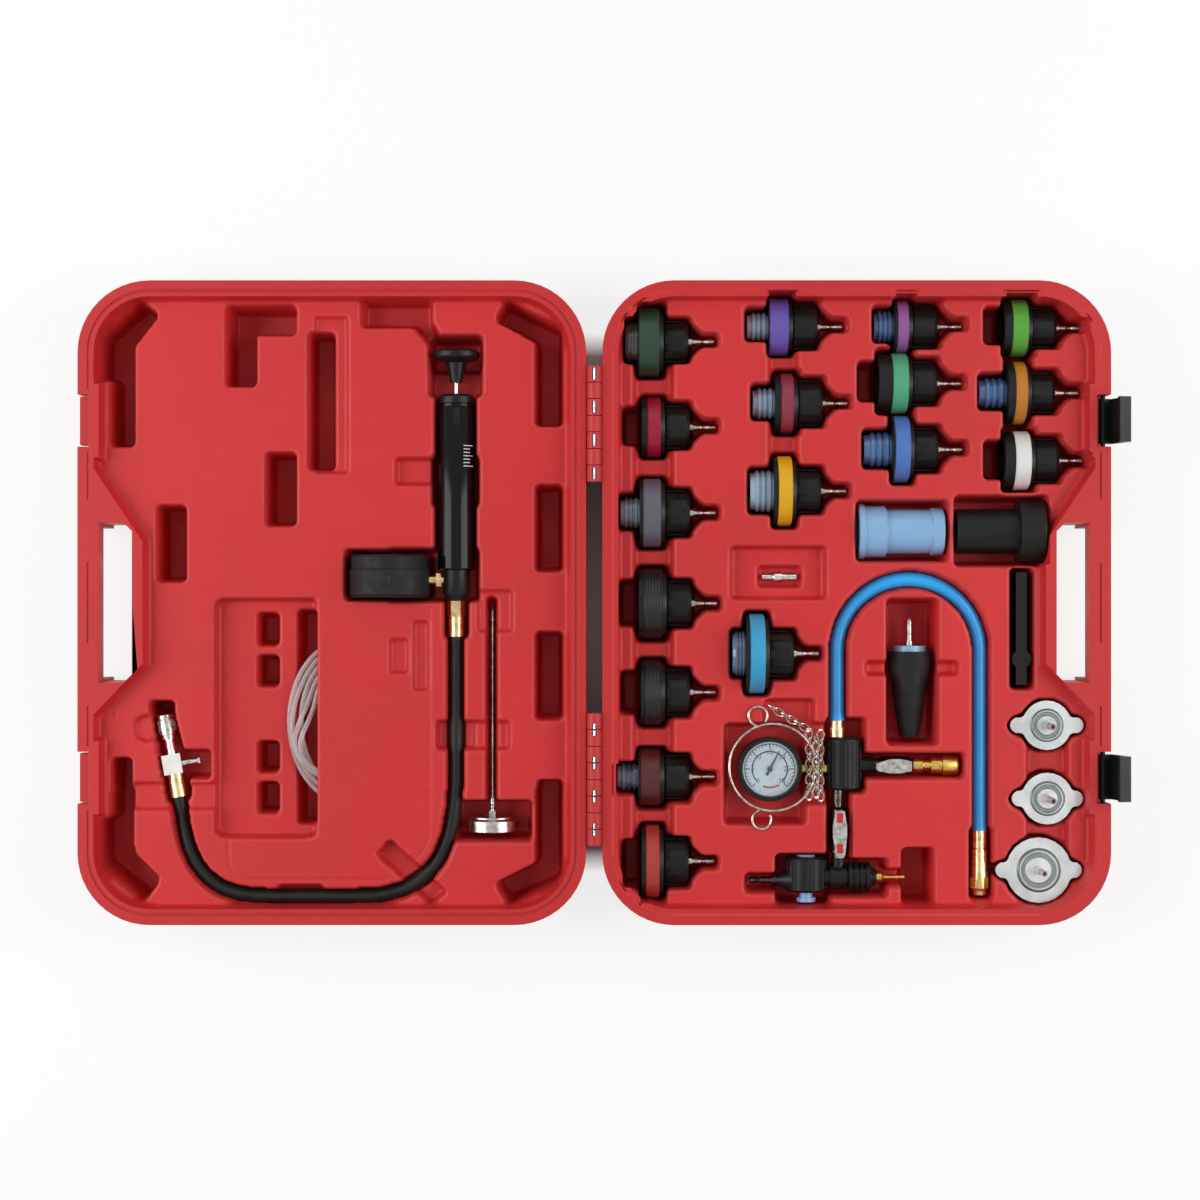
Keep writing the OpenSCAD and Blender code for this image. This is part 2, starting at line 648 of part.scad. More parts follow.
module case_base() color(red) difference() {
    union() {
        difference() {
            shell_block();
            for (k = [0 : 5]) prism(BASE_FLOORS[k], BASE_FLOORS[k + 1] + (k == 5 ? over : 0)) base_open(k);
            prism(-over, rim_h + over) handle_hole();
            prism(-over, rim_h - handle_bar_h) bar_recess();
            prism(rim_h - groove_depth, rim_h + over) groove_line();
            for (y = latch_ys) translate([half_w - latch_notch, y - notch_half, 30])
                cube([latch_notch + over, 2 * notch_half, rim_h]);
            for (k = [0 : 5]) prism(max(wall, BASE_FLOORS[k] - wall) , BASE_FLOORS[k + 1] - wall) difference() {
                base_outline(max(wall, foot_bevel));
                offset(delta = wall) base_open(k);
                kept_solid();
            }
        }
        knuckle_arms(0, 1);
        knuckles(0);
    }
    pin_bores();
    for (y = latch_ys) translate([half_w - latch_pivot_in, y - notch_half - 4, latch_pivot_h]) rotate([-90, 0, 0])
        cylinder(r = latch_trunnion_r + 0.08, h = 2 * notch_half + 8);
}

lid_notch = latch_notch - 2.7;
lug_top = 2 * hinge_z - (latch_pivot_h + lug_reach);

module case_lid() color(red) difference() {
    union() {
        difference() {
            translate([lid_edge, 0, 0]) mirror([1, 0, 0]) shell_block();
            for (k = [0 : 5]) prism(LID_FLOORS[k], LID_FLOORS[k + 1] + (k == 5 ? over : 0)) lid_open(k);
            prism(tray_floor, tube_z + tube_r + 1) tube_hollow();
            prism(-over, rim_h + over) mirror_half() handle_hole();
            prism(-over, rim_h - handle_bar_h) mirror_half() bar_recess();
            prism(rim_h - groove_depth, rim_h + over) mirror_half() groove_line();
            for (y = latch_ys) translate([lid_edge - half_w - over, y - notch_half, -over])
                cube([lid_notch + over, 2 * notch_half, rim_h + 2 * over]);
            for (k = [0 : 5]) prism(max(wall, LID_FLOORS[k] - wall), LID_FLOORS[k + 1] - wall) difference() {
                lid_outline(max(wall, foot_bevel));
                offset(delta = wall) lid_open(k);
                if (k >= 3) offset(delta = wall) tube_hollow();
                mirror_half() kept_solid();
            }
        }
        for (y = latch_ys) translate([lid_edge - half_w + lid_notch - lug_depth, y - notch_half + 1.5, lug_top])
            cube([lug_depth + over, 2 * notch_half - 3, lug_h]);
        knuckle_arms(1, -1);
        knuckles(1);
    }
    pin_bores();
}

module hinge_pins() color(steel) for (row = knuckle_rows) translate([hinge_x, row[0], hinge_z])
    rotate([-90, 0, 0]) cylinder(r = pin_r, h = row[1] * knuckle_len);

// ---------------------------------------------------------------- latches

plate_in = 6;
hook_reach = 1;
lip_z = lug_reach + closed_gap;

// At rest the latch hangs open until its outer edge balances the hinge side of the case.
edge = [plate_in + latch_plate, lip_z + latch_lip - 1.5];
ajar = asin((latch_out + latch_pivot_in) / norm(edge)) - atan2(edge[0], edge[1]);

// One latch about its own pivot, drawn shut: u outward, w up.
module latch_shape() translate([0, latch_w / 2, 0]) rotate([90, 0, 0]) linear_extrude(latch_w) union() {
    circle(latch_barrel_r);
    polygon([[0, -latch_barrel_r], [plate_in + latch_plate - 1, -latch_barrel_r],
             [plate_in + latch_plate, -latch_barrel_r + 1], [plate_in + latch_plate, lip_z + latch_lip - 1.5],
             [plate_in + latch_plate - 1.5, lip_z + latch_lip], [-hook_reach, lip_z + latch_lip],
             [-hook_reach, lip_z], [plate_in, lip_z], [plate_in, latch_barrel_r], [0, latch_barrel_r]]);
}

module latch(y) color(black) translate([half_w - latch_pivot_in, y, latch_pivot_h]) rotate([0, ajar, 0]) {
    latch_shape();
    translate([0, -notch_half - 3, 0]) rotate([-90, 0, 0])
        cylinder(r = latch_trunnion_r, h = 2 * notch_half + 6);
}

module latch_upper() latch(latch_ys[0]);
module latch_lower() latch(latch_ys[1]);

// ---------------------------------------------------------------- pump

barrel_bore = barrel_r - barrel_wall;
barrel_top = barrel_y + barrel_len;

module on_pump() translate([pump_x, 0, pump_z]) children();

module pump_barrel() color(black) on_pump() difference() {
    turned_y([[barrel_y, 0], [barrel_y, barrel_r - 1], [barrel_y + 1, barrel_r], [barrel_top - 6, barrel_r],
              [barrel_top - 5, barrel_r - 0.6], [barrel_top, barrel_r - 0.6], [barrel_top, 0]]);
    translate([0, barrel_y + barrel_wall, 0]) rotate([-90, 0, 0]) cylinder(r = barrel_bore, h = barrel_len);
    translate([0, barrel_y - over, 0]) rotate([-90, 0, 0]) cylinder(r = 3, h = barrel_wall + 2 * over);
}

module pump_end_cap() color(black) on_pump() difference() {
    turned_y([[barrel_top - 7, 0], [barrel_top - 7, barrel_bore - 0.1], [barrel_top + fit_gap, barrel_bore - 0.1],
              [barrel_top + fit_gap, barrel_r - 1], [barrel_top + end_cap_len - 2, barrel_r - 1],
              [barrel_top + end_cap_len, barrel_r - 3], [barrel_top + end_cap_len, 0]]);
    translate([0, barrel_top - 8, 0]) rotate([-90, 0, 0]) cylinder(r = rod_r + 0.1, h = end_cap_len + 10);
}

module pump_valve_block() color(black) on_pump() difference() {
    turned_y([[1.6, 0], [1.6, 7.6], [8, valve_block_r], [barrel_y - fit_gap, valve_block_r],
              [barrel_y - fit_gap, 0]]);
    translate([0, 1, 0]) rotate([-90, 0, 0]) cylinder(r = 3, h = barrel_y);
    translate([-valve_block_r - 1, 19.5, 0]) rotate([0, 90, 0]) cylinder(r = 4.1, h = 4);
}

piston_y = [44, 54];

module pump_handle() color(black) on_pump() difference() {
    turned_y([[neck_end, 0], [neck_end, 5], [neck_end + knob_neck, 8.6], [knob_top - 9, knob_r - 2],
              [knob_top - 7, knob_r], [knob_top - 3, knob_r],
              [knob_top - 1, knob_r - 3], [knob_top, 8], [knob_top, 0]]);
    translate([0, neck_end - over, 0]) rotate([-90, 0, 0]) cylinder(r = rod_r + fit_gap, h = 13);
}

module pump_rod() color(steel) on_pump() translate([0, piston_y[0] + 2, 0]) rotate([-90, 0, 0])
    cylinder(r = rod_r, h = neck_end + 11 - piston_y[0] - 2);

module pump_piston() color("#3a3a3c") on_pump() difference() {
    turned_y([[piston_y[0], 0], [piston_y[0], barrel_bore - 0.08], [piston_y[1], barrel_bore - 0.08],
              [piston_y[1], 0]]);
    translate([0, piston_y[0] + 1.9, 0]) rotate([-90, 0, 0]) cylinder(r = rod_r + 0.05, h = 12);
}

module on_gauge() translate([gauge_x, gauge_y, pump_z]) children();
lens_seat = gauge_depth - 3;

module gauge_boot() color(black) on_gauge() difference() {
    turned_y([[0, 0], [0, gauge_r - 3], [3, gauge_r], [gauge_depth - 13, gauge_r], [gauge_depth - 12, gauge_r - 1.2],
              [gauge_depth - 2, gauge_r - 1.2], [gauge_depth, gauge_r - 3], [gauge_depth, gauge_r - 6],
              [lens_seat + 1.6, gauge_r - 6], [lens_seat + 1.6, gauge_r - 5], [lens_seat, gauge_r - 5],
              [lens_seat, gauge_r - 6], [lens_seat - 5, gauge_r - 6], [lens_seat - 5, 0]]);
    for (k = [0 : 2]) rotate([0, 120 * k + 30, 0]) translate([gauge_r + 3.2, gauge_depth / 2 - 8, 0])
        rotate([-90, 0, 0]) cylinder(r = 5, h = 10);
    translate([gauge_r - 12, 19.5 - gauge_y, 0]) rotate([0, 90, 0]) cylinder(r = 4.1, h = 14);
}

module gauge_lens() color("#dfe8ee") on_gauge() translate([0, lens_seat + 0.1, 0]) rotate([-90, 0, 0])
    cylinder(r = gauge_r - 5.1, h = 1.4);

module gauge_needle() color("#d02020") on_gauge() translate([0, lens_seat - 4.6, 0]) rotate([-90, 0, 0]) {
    cylinder(r = 2.2, h = 2.4);
    translate([0, 0, 1]) linear_extrude(0.8) polygon([[-1.4, 6], [1.4, 6], [0.4, -21], [-0.4, -21]]);
}

module pump_brass() color(brass) {
    translate([gauge_x + gauge_r - 11, 19.5, pump_z]) rotate([0, 90, 0])
        cylinder(r = 4, h = pump_x - valve_block_r + 2.8 - (gauge_x + gauge_r - 11));
    translate([-142, 19.5, pump_z]) rotate([0, 90, 0]) cylinder(r = 6.5, h = 4.5, $fn = 6);
    on_pump() translate([0, 1.5, 0]) rotate([90, 0, 0]) cylinder(r = nut_r, h = 13.5, $fn = 6);
    on_pump() translate([0, -12, 0]) rotate([90, 0, 0]) cylinder(r = ferrule_r, h = -12 - black_ferrule_y);
    on_tee() rotate([-90, 0, 0]) cylinder(r = ferrule_r, h = 20);
}

module pump_hose() color(black) swept(BLACK_ROUTE, pump_z, black_hose_r, 12);

module on_tee() translate([tee_at[0], tee_at[1], pump_z]) rotate([0, 0, tee_tilt]) children();

module tee_block() color(steel) on_tee() difference() {
    union() {
        translate([-8, 20, -8]) cube([16, 17, 16]);
        translate([0, 37, 0]) rotate([-90, 0, 0]) cylinder(r = 4.3, h = 31);
    }
    translate([4, 28, 0]) rotate([0, 90, 0]) cylinder(r = 2.6, h = 5);
}

module relief_pin() color(steel) on_tee() translate([4.5, 28, 0]) rotate([0, 90, 0]) {
    cylinder(r = 2.5, h = 17);
    translate([0, 0, 17]) cylinder(r = 4.5, h = 2);
}

module quick_coupler() color(brass) on_tee() difference() {
    turned_y([[50, 0], [50, 6], [54, 6], [54, 7.2], [66, 7.2], [68, 6.4], [71, 6.4], [71, 0]]);
    translate([0, 49, 0]) rotate([-90, 0, 0]) cylinder(r = 4.4, h = 23);
}

// ---------------------------------------------------------------- thermometer and clear tube

module thermometer() color(steel) translate([thermo_x, thermo_y, thermo_z]) {
    turned_y([[0, 0], [0, thermo_r - 1.5], [1, thermo_r], [thermo_head - 3, thermo_r], [thermo_head - 1, thermo_r - 2],
              [thermo_head, thermo_r - 2], [thermo_head, 0]]);
    translate([0, thermo_head - 0.5, 0]) rotate([-90, 0, 0]) cylinder(r = 5.5, h = 5.5, $fn = 6);
    turned_y([[thermo_head, 0], [thermo_head, thermo_stem_r], [thermo_head + thermo_stem - 4, thermo_stem_r],
              [thermo_head + thermo_stem, 0.5], [thermo_head + thermo_stem, 0]]);
}

tube_steps = 24;
TUBE_ROUTE = concat(
    [for (i = [0 : tube_loops * tube_steps]) let(a = 90 + 360 * i / tube_steps, in = tube_pitch * i / tube_steps)
        [tube_at[0] + (tube_half_x - in) * cos(a), tube_at[1] + (tube_half_y - in) * sin(a)]],
    [[tube_at[0] - 2 * tube_r, tube_at[1] + tube_half_y - tube_pitch * tube_loops - 0.6]]);
TUBE_START = [tube_at[0] + 2 * tube_r, tube_at[1] + tube_half_y];
TUBE = concat([TUBE_START], TUBE_ROUTE);
tube_gap = min([for (i = [0 : len(TUBE) - 1]) for (j = [i + 12 : 1 : len(TUBE) - 1])
    norm(TUBE[i] - TUBE[j])]) - 2 * tube_r;

module clear_tube() {
    echo(least_tube_gap = tube_gap);
    color("#cfd8da") swept(TUBE, tube_z, tube_r, 6);
}

// ---------------------------------------------------------------- loose pieces of the base

module sleeve_blue() color("#82afd7") translate([sleeve_blue_x, sleeve_y, grip_floor + seat_gap + sleeve_lip_r]) {
    r = sleeve_lip_r;
    l = sleeve_len[0];
    turned_x([[0, sleeve_bore_r], [0, r - 0.8], [0.8, r], [5, r], [5.5, r - 1.8], [23, r - 1.8], [24.5, r - 4.8],
              [l - 11, r - 4.8], [l - 10, r - 3.5], [l - 1, r - 3.5], [l, r - 4.5], [l, sleeve_bore_r]]);
}

module sleeve_black() color(black) translate([sleeve_black_x, sleeve_y, grip_floor + seat_gap + sleeve_big_r]) {
    r = sleeve_big_r;
    l = sleeve_len[1];
    turned_x([[0, sleeve_bore_r], [0, r - 9], [1, r - 8], [l - 23, r - 8], [l - 22, r], [l - 1, r], [l, r - 1],
              [l, sleeve_bore_r]]);
}

module spare_fitting() color(steel) translate([fitting_at[0], fitting_at[1], hose_floor + seat_gap + fitting_r]) {
    r = fitting_r;
    turned_x([[0, 0], [0, r - 1.6], [9, r - 1.6], [10, r - 1], [10, r], [17, r], [17, r - 1.2],
              [fitting_len - 1, r - 1.2], [fitting_len, r - 2], [fitting_len, 0]]);
}

module cone_plug() translate([cone_at[0], cone_at[1], grip_floor + seat_gap + cone_r]) {
    color(black) turned_y([[0, 0], [0, cone_r * 0.45], [cone_len - 8, cone_r - 0.5], [cone_len - 6, cone_r],
                           [cone_len, cone_r], [cone_len, 0]]);
    color("#7896af") turned_y([[cone_len + fit_gap, 0], [cone_len + fit_gap, cone_r - 4.5],
                               [cone_len + 5, cone_r - 5], [cone_len + 5, 0]]);
    color(steel) turned_y([[cone_len + 5.1, 0], [cone_len + 5.1, 4], [cone_len + 9, 4], [cone_len + 9, 3],
                           [cone_len + 27, 3], [cone_len + 29, 2], [cone_len + 29, 0]]);
}

module spanner() color(black) translate([spanner_at[0], spanner_at[1], grip_floor + seat_gap]) {
    difference() {
        union() {
            translate([-spanner_t / 2, -spanner_len, 0]) cube([spanner_t, spanner_len, spanner_h]);
            translate([0, spanner_hub_y, 0]) cylinder(r = spanner_hub_r, h = spanner_h);
        }
        for (s = [-1, 1]) translate([s * spanner_t / 2 - (s > 0 ? 1.5 : 0), -spanner_len + 38, 8])
            cube([1.5, spanner_len - 46, spanner_h - 16]);
    }
}

// A radiator cap: pressed shell with two ears, and the sprung valve below it.
module radiator_cap(i) {
    r = cap_r[i];
    z0 = nozzle_floor + seat_gap;
    top = z0 + cap_h;
    color(steel) {
        prism(top - 3.4, top - 2) cap_outline(i);
        translate([cap_at[i][0], cap_at[i][1], 0]) {
            turned_z([[top - 13, r - 1.8], [top - 13, r - 0.4], [top - 3.4, r - 0.4], [top - 3.4, r - 1.8]]);
            turned_z([[top - 2.01, r * 0.66], [top - 0.4, r * 0.62], [top - 0.4, r * 0.56], [top - 2.01, r * 0.52]]);
            turned_z([[top - 2.01, 0], [top - 2.01, r * 0.42], [top - 0.6, r * 0.38], [top - 0.6, 0]]);
            translate([0, 0, top - 0.7]) rotate([0, -90, 0]) nipple(cap_nipple_len, nipple_r, nipple_collar_r);
            turned_z([[z0 + 3, 0], [z0 + 3, 4.5], [top - 3.4, 4.5], [top - 3.4, 0]]);
        }
    }
    color("#303234") translate([cap_at[i][0], cap_at[i][1], 0])
        turned_z([[z0, 0], [z0, r * 0.55], [z0 + 2.9, r * 0.6], [z0 + 2.9, 0]]);
}

module cap_small() radiator_cap(0);
module cap_medium() radiator_cap(1);
module cap_large() radiator_cap(2);

// ---------------------------------------------------------------- vacuum filling tool

module at_tool(p) translate([p[0], p[1], tool_z]) children();
vac_floor = nozzle_floor + seat_gap;

module vacuum_gauge_case() color(black) {
    translate([vac_at[0], vac_at[1], 0]) turned_z([
        [vac_floor, 0], [vac_floor, vac_gauge_r - 4], [vac_floor + 3, vac_gauge_r - 1], [vac_gauge_top - 5, vac_gauge_r - 1],
        [vac_gauge_top - 5, vac_gauge_r], [vac_gauge_top - 0.5, vac_gauge_r], [vac_gauge_top, vac_gauge_r - 0.6],
        [vac_gauge_top, vac_gauge_r - 3.4], [vac_gauge_top - 2.2, vac_gauge_r - 3.4],
        [vac_gauge_top - 2.2, vac_gauge_r - 4.2], [vac_gauge_top - 5.5, vac_gauge_r - 4.2], [vac_gauge_top - 5.5, 0]]);
}

module vacuum_gauge_lens() color("#dfe8ee") translate([vac_at[0], vac_at[1], vac_gauge_top - 2.1])
    cylinder(r = vac_gauge_r - 3.5, h = 1.3);

module vacuum_gauge_needle() color(black) translate([vac_at[0], vac_at[1], vac_gauge_top - 5.2]) {
    cylinder(r = 2.2, h = 2.4);
    translate([0, 0, 1]) rotate([0, 0, -28]) linear_extrude(0.7)
        polygon([[-1.2, -6], [1.2, -6], [0.4, 17.5], [-0.4, 17.5]]);
}

// A fluted grip along +Y, cut by long grooves.
module fluted(r, l, flutes) difference() {
    turned_y([[0, 0], [0, r - 2], [2, r], [l - 2, r], [l, r - 2], [l, 0]]);
    for (k = [0 : flutes - 1]) rotate([0, 360 * k / flutes, 0]) translate([r + 0.6, 3, 0]) rotate([-90, 0, 0])
        cylinder(r = 1.5, h = l - 6);
}

module manifold_body() color(black) at_tool(manifold_at) {
    translate([0, -manifold_len, 0]) fluted(manifold_r, manifold_len, 16);
    translate([manifold_r - 3, -24, 0]) rotate([0, 90, 0]) cylinder(r = 7, h = 14);
    translate([-manifold_r - 1, gauge_stem_y - manifold_at[1], 0]) rotate([0, 90, 0]) cylinder(r = 6, h = 6);
}

module venturi_body() color(black) at_tool(venturi_at) {
    translate([0, -venturi_len, 0]) fluted(venturi_r, venturi_len, 20);
    translate([-venturi_r - 8, -20.5, 0]) turned_x([[0, 0], [0, 4.5], [12, 11], [12, 0]]);
    translate([venturi_r - 3, -18, 0]) turned_x([
        [0, 0], [0, 8], [6, 8], [6, 10.5], [20, 10.5], [20, 8], [22, 8], [22, 13], [25, 13], [25, 11.5], [27, 11.5],
        [27, 13], [30, 13], [30, 11.5], [32, 11.5], [32, 13], [35, 13], [35, 11.5], [37, 11.5], [37, 13], [40, 13],
        [42, 9], [46, 6], [46, 0]]);
    translate([27.5, -13.8, 0]) rotate([-90, 0, 0]) cylinder(r = 6, h = 12);
}

valve_x0 = manifold_at[0] + manifold_r + 11.1;

module valve_bodies() color(steel) {
    translate([valve_x0, valve_at[1], tool_z]) turned_x([
        [0, 0], [0, 6], [4, 6], [5, 7.5], [valve_at[0] - valve_x0 + 12, 7.5], [valve_at[0] - valve_x0 + 14, 6],
        [valve_at[0] - valve_x0 + 16, 6], [valve_at[0] - valve_x0 + 16, 0]]);
    translate([valve_at[0], valve_at[1], tool_z]) cylinder(r = 3, h = lever_z - tool_z - 0.3);
    translate([valve_low_at[0], valve_low_at[1], tool_z]) {
        translate([0, -24.7, 0]) turned_y([[0, 0], [0, 5], [4, 5], [5, 7.5], [42, 7.5], [44, 5], [58.5, 5], [58.5, 0]]);
        cylinder(r = 3, h = lever_z - tool_z - 0.3);
    }
    translate([venturi_at[0] - venturi_r - 8.1, venturi_at[1] - 20.5, tool_z]) rotate([0, 0, 180])
        turned_x([[0, 0], [0, 4], [5, 4], [5, 2.9], [14, 2.9], [15, 2], [17, 2], [18, 2.9], [23, 2.9], [24, 2], [24, 0]]);
}

// A lever plate about its pivot: long arm along +X, short arm behind.
module lever(long, short) {
    linear_extrude(2) difference() {
        polygon([[-short, -4], [-4, -6], [5, -6], [long - 4, -3.5], [long, -2], [long, 3], [long - 3, 4.5],
                 [5, 6], [-4, 6], [-short, 4]]);
        circle(1.5);
    }
    cylinder(r = 3.2, h = 3);
}

module valve_lever_upper() color(steel) translate([valve_at[0], valve_at[1], lever_z]) rotate([0, 0, 180]) lever(17, 13);

module valve_lever_lower() color(steel) translate([valve_low_at[0], valve_low_at[1], lever_z])
    rotate([0, 0, -90]) lever(23, 17);

module venturi_knob() color("#9cc3dc") at_tool(venturi_at) translate([0, -venturi_len - 0.3, 0]) rotate([90, 0, 0]) {
    cylinder(r = 5.5, h = 5);
    translate([0, 0, 5]) cylinder(r = 8, h = 3.5);
}

brass_x0 = valve_at[0] + 16.1;
tip_x0 = venturi_at[0] + venturi_r + 43.1;
stem_x0 = vac_at[0] + vac_gauge_r - 0.8;

module vacuum_brass() color(brass) {
    translate([brass_x0, valve_at[1], tool_z]) turned_x([
        [0, 0], [0, 6.5], [8, 6.5], [9, 5], [14, 5], [15, 7.5], [24, 7.5], [25, 9], [36, 9], [38, 8], [38, 0]]);
    translate([tip_x0, venturi_at[1] - 18, tool_z]) turned_x([
        [0, 0], [0, 5], [4, 5], [7, 2.2], [24, 1.6], [24, 0]]);
    translate([stem_x0, gauge_stem_y, tool_z]) rotate([0, 90, 0])
        cylinder(r = stem_r, h = manifold_at[0] - manifold_r - 1 - fit_gap - stem_x0);
}

ring_z = panel_h + seat_gap + wire_r;
ring_at = [145, -140];
loop_r = 8;
loop_at = [132.3, -96.3];
curl_at = [135.5, -184.5];

module hook_ring() color(steel) {
    translate([ring_at[0], ring_at[1], ring_z]) wire(ring_r, wire_r);
    translate([loop_at[0], loop_at[1], ring_z]) rotate([0, 0, -40]) wire(loop_r, wire_r, 300);
    translate([curl_at[0], curl_at[1], ring_z]) rotate([0, 0, 100]) wire(loop_r, wire_r, 290);
}

link_step = 2 * link_r - 2 * link_wire - 0.4;
chain_z = tool_z + stem_r + seat_gap + link_r + link_wire;

// A straight run of links from one point towards another.
module links(start, angle, count, z, rise) translate([start[0], start[1], z]) rotate([0, 0, angle])
    for (k = [0 : count - 1]) translate([k * link_step, 0, k * rise]) rotate([k % 2 == 0 ? 20 : 110, 0, 0])
        rotate_extrude($fn = 10) translate([link_r, 0]) circle(link_wire, $fn = 5);

module chain() color("#d8c9a0") {
    for (k = [0 : 1]) links([176.3 + k * 10, -165], 90, 12, chain_z, 0);
    links([181.3, -162], 90, 11, ring_z + wire_r + seat_gap + link_r + link_wire, 0);
    links([173, -107], 149, 9, chain_z + 1, 0.7);
}

module blue_hose() color("#288cc8") {
    at_tool([hose_left_x, hose_left_end]) rotate([-90, 0, 0]) cylinder(r = blue_hose_r, h = arch_at[1] - hose_left_end);
    at_tool([hose_right_x, hose_right_end]) rotate([-90, 0, 0]) cylinder(r = blue_hose_r, h = arch_at[1] - hose_right_end);
    at_tool(arch_at) rotate_extrude(angle = 180, $fn = 96) translate([arch_r, 0]) circle(blue_hose_r);
}

module blue_hose_fittings() color(brass) {
    at_tool([hose_left_x, manifold_at[1]]) turned_y([
        [0.1, 0], [0.1, 6.8], [8, 6.8], [8, 6], [hose_left_end - manifold_at[1], 6], [hose_left_end - manifold_at[1], 0]]);
    at_tool([hose_right_x, hose_right_end]) rotate([0, 0, 180]) turned_y([
        [0, 0], [0, 6.5], [15, 6.5], [15, 5.5], [16, 5.5], [16, coupler_r - 0.6], [34, coupler_r - 0.6], [36, coupler_r],
        [coupler_len - 6, coupler_r], [coupler_len - 4, coupler_r - 1], [coupler_len, coupler_r - 1.5], [coupler_len, 0]]);
}

// ---------------------------------------------------------------- nodes

case_base();
case_lid();
hinge_pins();
latch_upper();
latch_lower();
pump_barrel();
pump_end_cap();
pump_valve_block();
pump_handle();
pump_rod();
pump_piston();
gauge_boot();
gauge_lens();
gauge_needle();
pump_brass();
pump_hose();
tee_block();
relief_pin();
quick_coupler();
thermometer();
clear_tube();
sleeve_blue();
sleeve_black();
spare_fitting();
cone_plug();
spanner();
cap_small();
cap_medium();
cap_large();
vacuum_gauge_case();
vacuum_gauge_lens();
vacuum_gauge_needle();
manifold_body();
venturi_body();
valve_bodies();
valve_lever_upper();
valve_lever_lower();
venturi_knob();
vacuum_brass();
hook_ring();
chain();
blue_hose();
blue_hose_fittings();
adapter(0);  // adapter_green
adapter(1);  // adapter_crimson
adapter(2);  // adapter_slate
adapter(3);  // adapter_ribbed_upper
adapter(4);  // adapter_ribbed_lower
adapter(5);  // adapter_brown
adapter(6);  // adapter_rust
adapter(7);  // adapter_purple
adapter(8);  // adapter_maroon
adapter(9);  // adapter_ochre
adapter(10);  // adapter_sky
adapter(11);  // adapter_violet
adapter(12);  // adapter_teal
adapter(13);  // adapter_blue
adapter(14);  // adapter_leaf
adapter(15);  // adapter_orange
adapter(16);  // adapter_white
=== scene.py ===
"""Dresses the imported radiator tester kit: moulded case, pump, gauges, adapters, hoses and caps."""
import math

import bmesh
import bpy
import numpy as np
from mathutils import Matrix, Vector
from mathutils.bvhtree import BVHTree


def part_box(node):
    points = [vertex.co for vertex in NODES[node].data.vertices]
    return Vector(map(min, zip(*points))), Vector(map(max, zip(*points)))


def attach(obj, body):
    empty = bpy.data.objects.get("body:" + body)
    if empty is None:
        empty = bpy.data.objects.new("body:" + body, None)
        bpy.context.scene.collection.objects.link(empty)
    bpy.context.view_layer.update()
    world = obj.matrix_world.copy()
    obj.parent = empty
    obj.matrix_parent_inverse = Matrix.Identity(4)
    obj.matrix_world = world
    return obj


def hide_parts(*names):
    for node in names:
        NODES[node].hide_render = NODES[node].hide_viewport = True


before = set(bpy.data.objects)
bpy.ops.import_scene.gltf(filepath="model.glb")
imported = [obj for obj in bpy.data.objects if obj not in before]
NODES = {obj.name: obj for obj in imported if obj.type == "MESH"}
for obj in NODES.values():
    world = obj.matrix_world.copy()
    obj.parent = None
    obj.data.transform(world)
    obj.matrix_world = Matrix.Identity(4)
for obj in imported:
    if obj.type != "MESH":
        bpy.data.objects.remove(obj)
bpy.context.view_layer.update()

bl_info = {
    "name": "Radiator Tester Kit",
    "version": (1, 0, 0),
    "blender": (4, 5, 0),
    "location": "View3D > Sidebar > Tester Kit",
    "description": "Builds the moulded case and dresses the tools that lie in it",
    "category": "Object",
}

MM = 0.001
DOWN = Vector((0, 0, -1))
FACING_X = Matrix.Rotation(math.pi / 2, 4, "Y")
FACING_Y = Matrix.Rotation(-math.pi / 2, 4, "X")
WELD_DISTANCE = 1e-6
# Edges that turn by more than these degrees are rounded on a CAD node, and sharp on a drawn piece.
NODE_EDGE_ANGLE = 32.0
DRAWN_EDGE_ANGLE = 35.0

# The frame's width takes in FIELD_MM at VIEW_MM below the camera, which is the plane of the case's rim.
CAMERA_AT = Vector((-1.94, 2.3, 2064.0)) * MM
FIELD_MM = 1014.0
VIEW_MM = 2000.0
SENSOR_MM = 36.0

# Each lamp's name, its place and size in metres, and its power in watts. The floor's half side is in metres.
LAMPS = (
    ("left softbox", (-1.75, 0.1, 1.35), (1.35, 1.7), 32.0),
    ("right softbox", (1.75, 0.1, 1.35), (1.35, 1.7), 28.0),
    ("top softbox", (0.0, 1.9, 1.7), (1.6, 1.2), 4.0),
)
WORLD_STRENGTH = 0.26
FLOOR_HALF = 6.0
FLOOR_WHITE = 0.8

# Screen colours of each adapter's ring, and of its insert where it has one.
RING_COLOURS = {
    "adapter_green": ((30, 60, 42), (104, 112, 122)),
    "adapter_crimson": ((150, 14, 46), None),
    "adapter_slate": ((92, 92, 102), (146, 172, 194)),
    "adapter_ribbed_upper": ((26, 26, 28), None),
    "adapter_ribbed_lower": ((30, 30, 32), None),
    "adapter_brown": ((78, 26, 26), (118, 144, 172)),
    "adapter_rust": ((166, 54, 44), None),
    "adapter_purple": ((98, 80, 166), (146, 172, 194)),
    "adapter_maroon": ((134, 44, 66), (146, 172, 194)),
    "adapter_ochre": ((222, 166, 22), (146, 172, 194)),
    "adapter_sky": ((58, 158, 204), (92, 116, 150)),
    "adapter_violet": ((140, 86, 150), (72, 116, 172)),
    "adapter_teal": ((76, 160, 120), None),
    "adapter_blue": ((76, 116, 186), (72, 116, 172)),
    "adapter_leaf": ((82, 156, 56), None),
    "adapter_orange": ((188, 118, 36), (72, 116, 172)),
    "adapter_white": ((224, 224, 222), None),
}


def linear(rgb, alpha=1.0):
    """An 8-bit screen colour as scene-linear values."""
    out = []
    for value in rgb:
        c = value / 255.0
        out.append(c / 12.92 if c <= 0.04045 else ((c + 0.055) / 1.055) ** 2.4)
    return (*out, alpha)


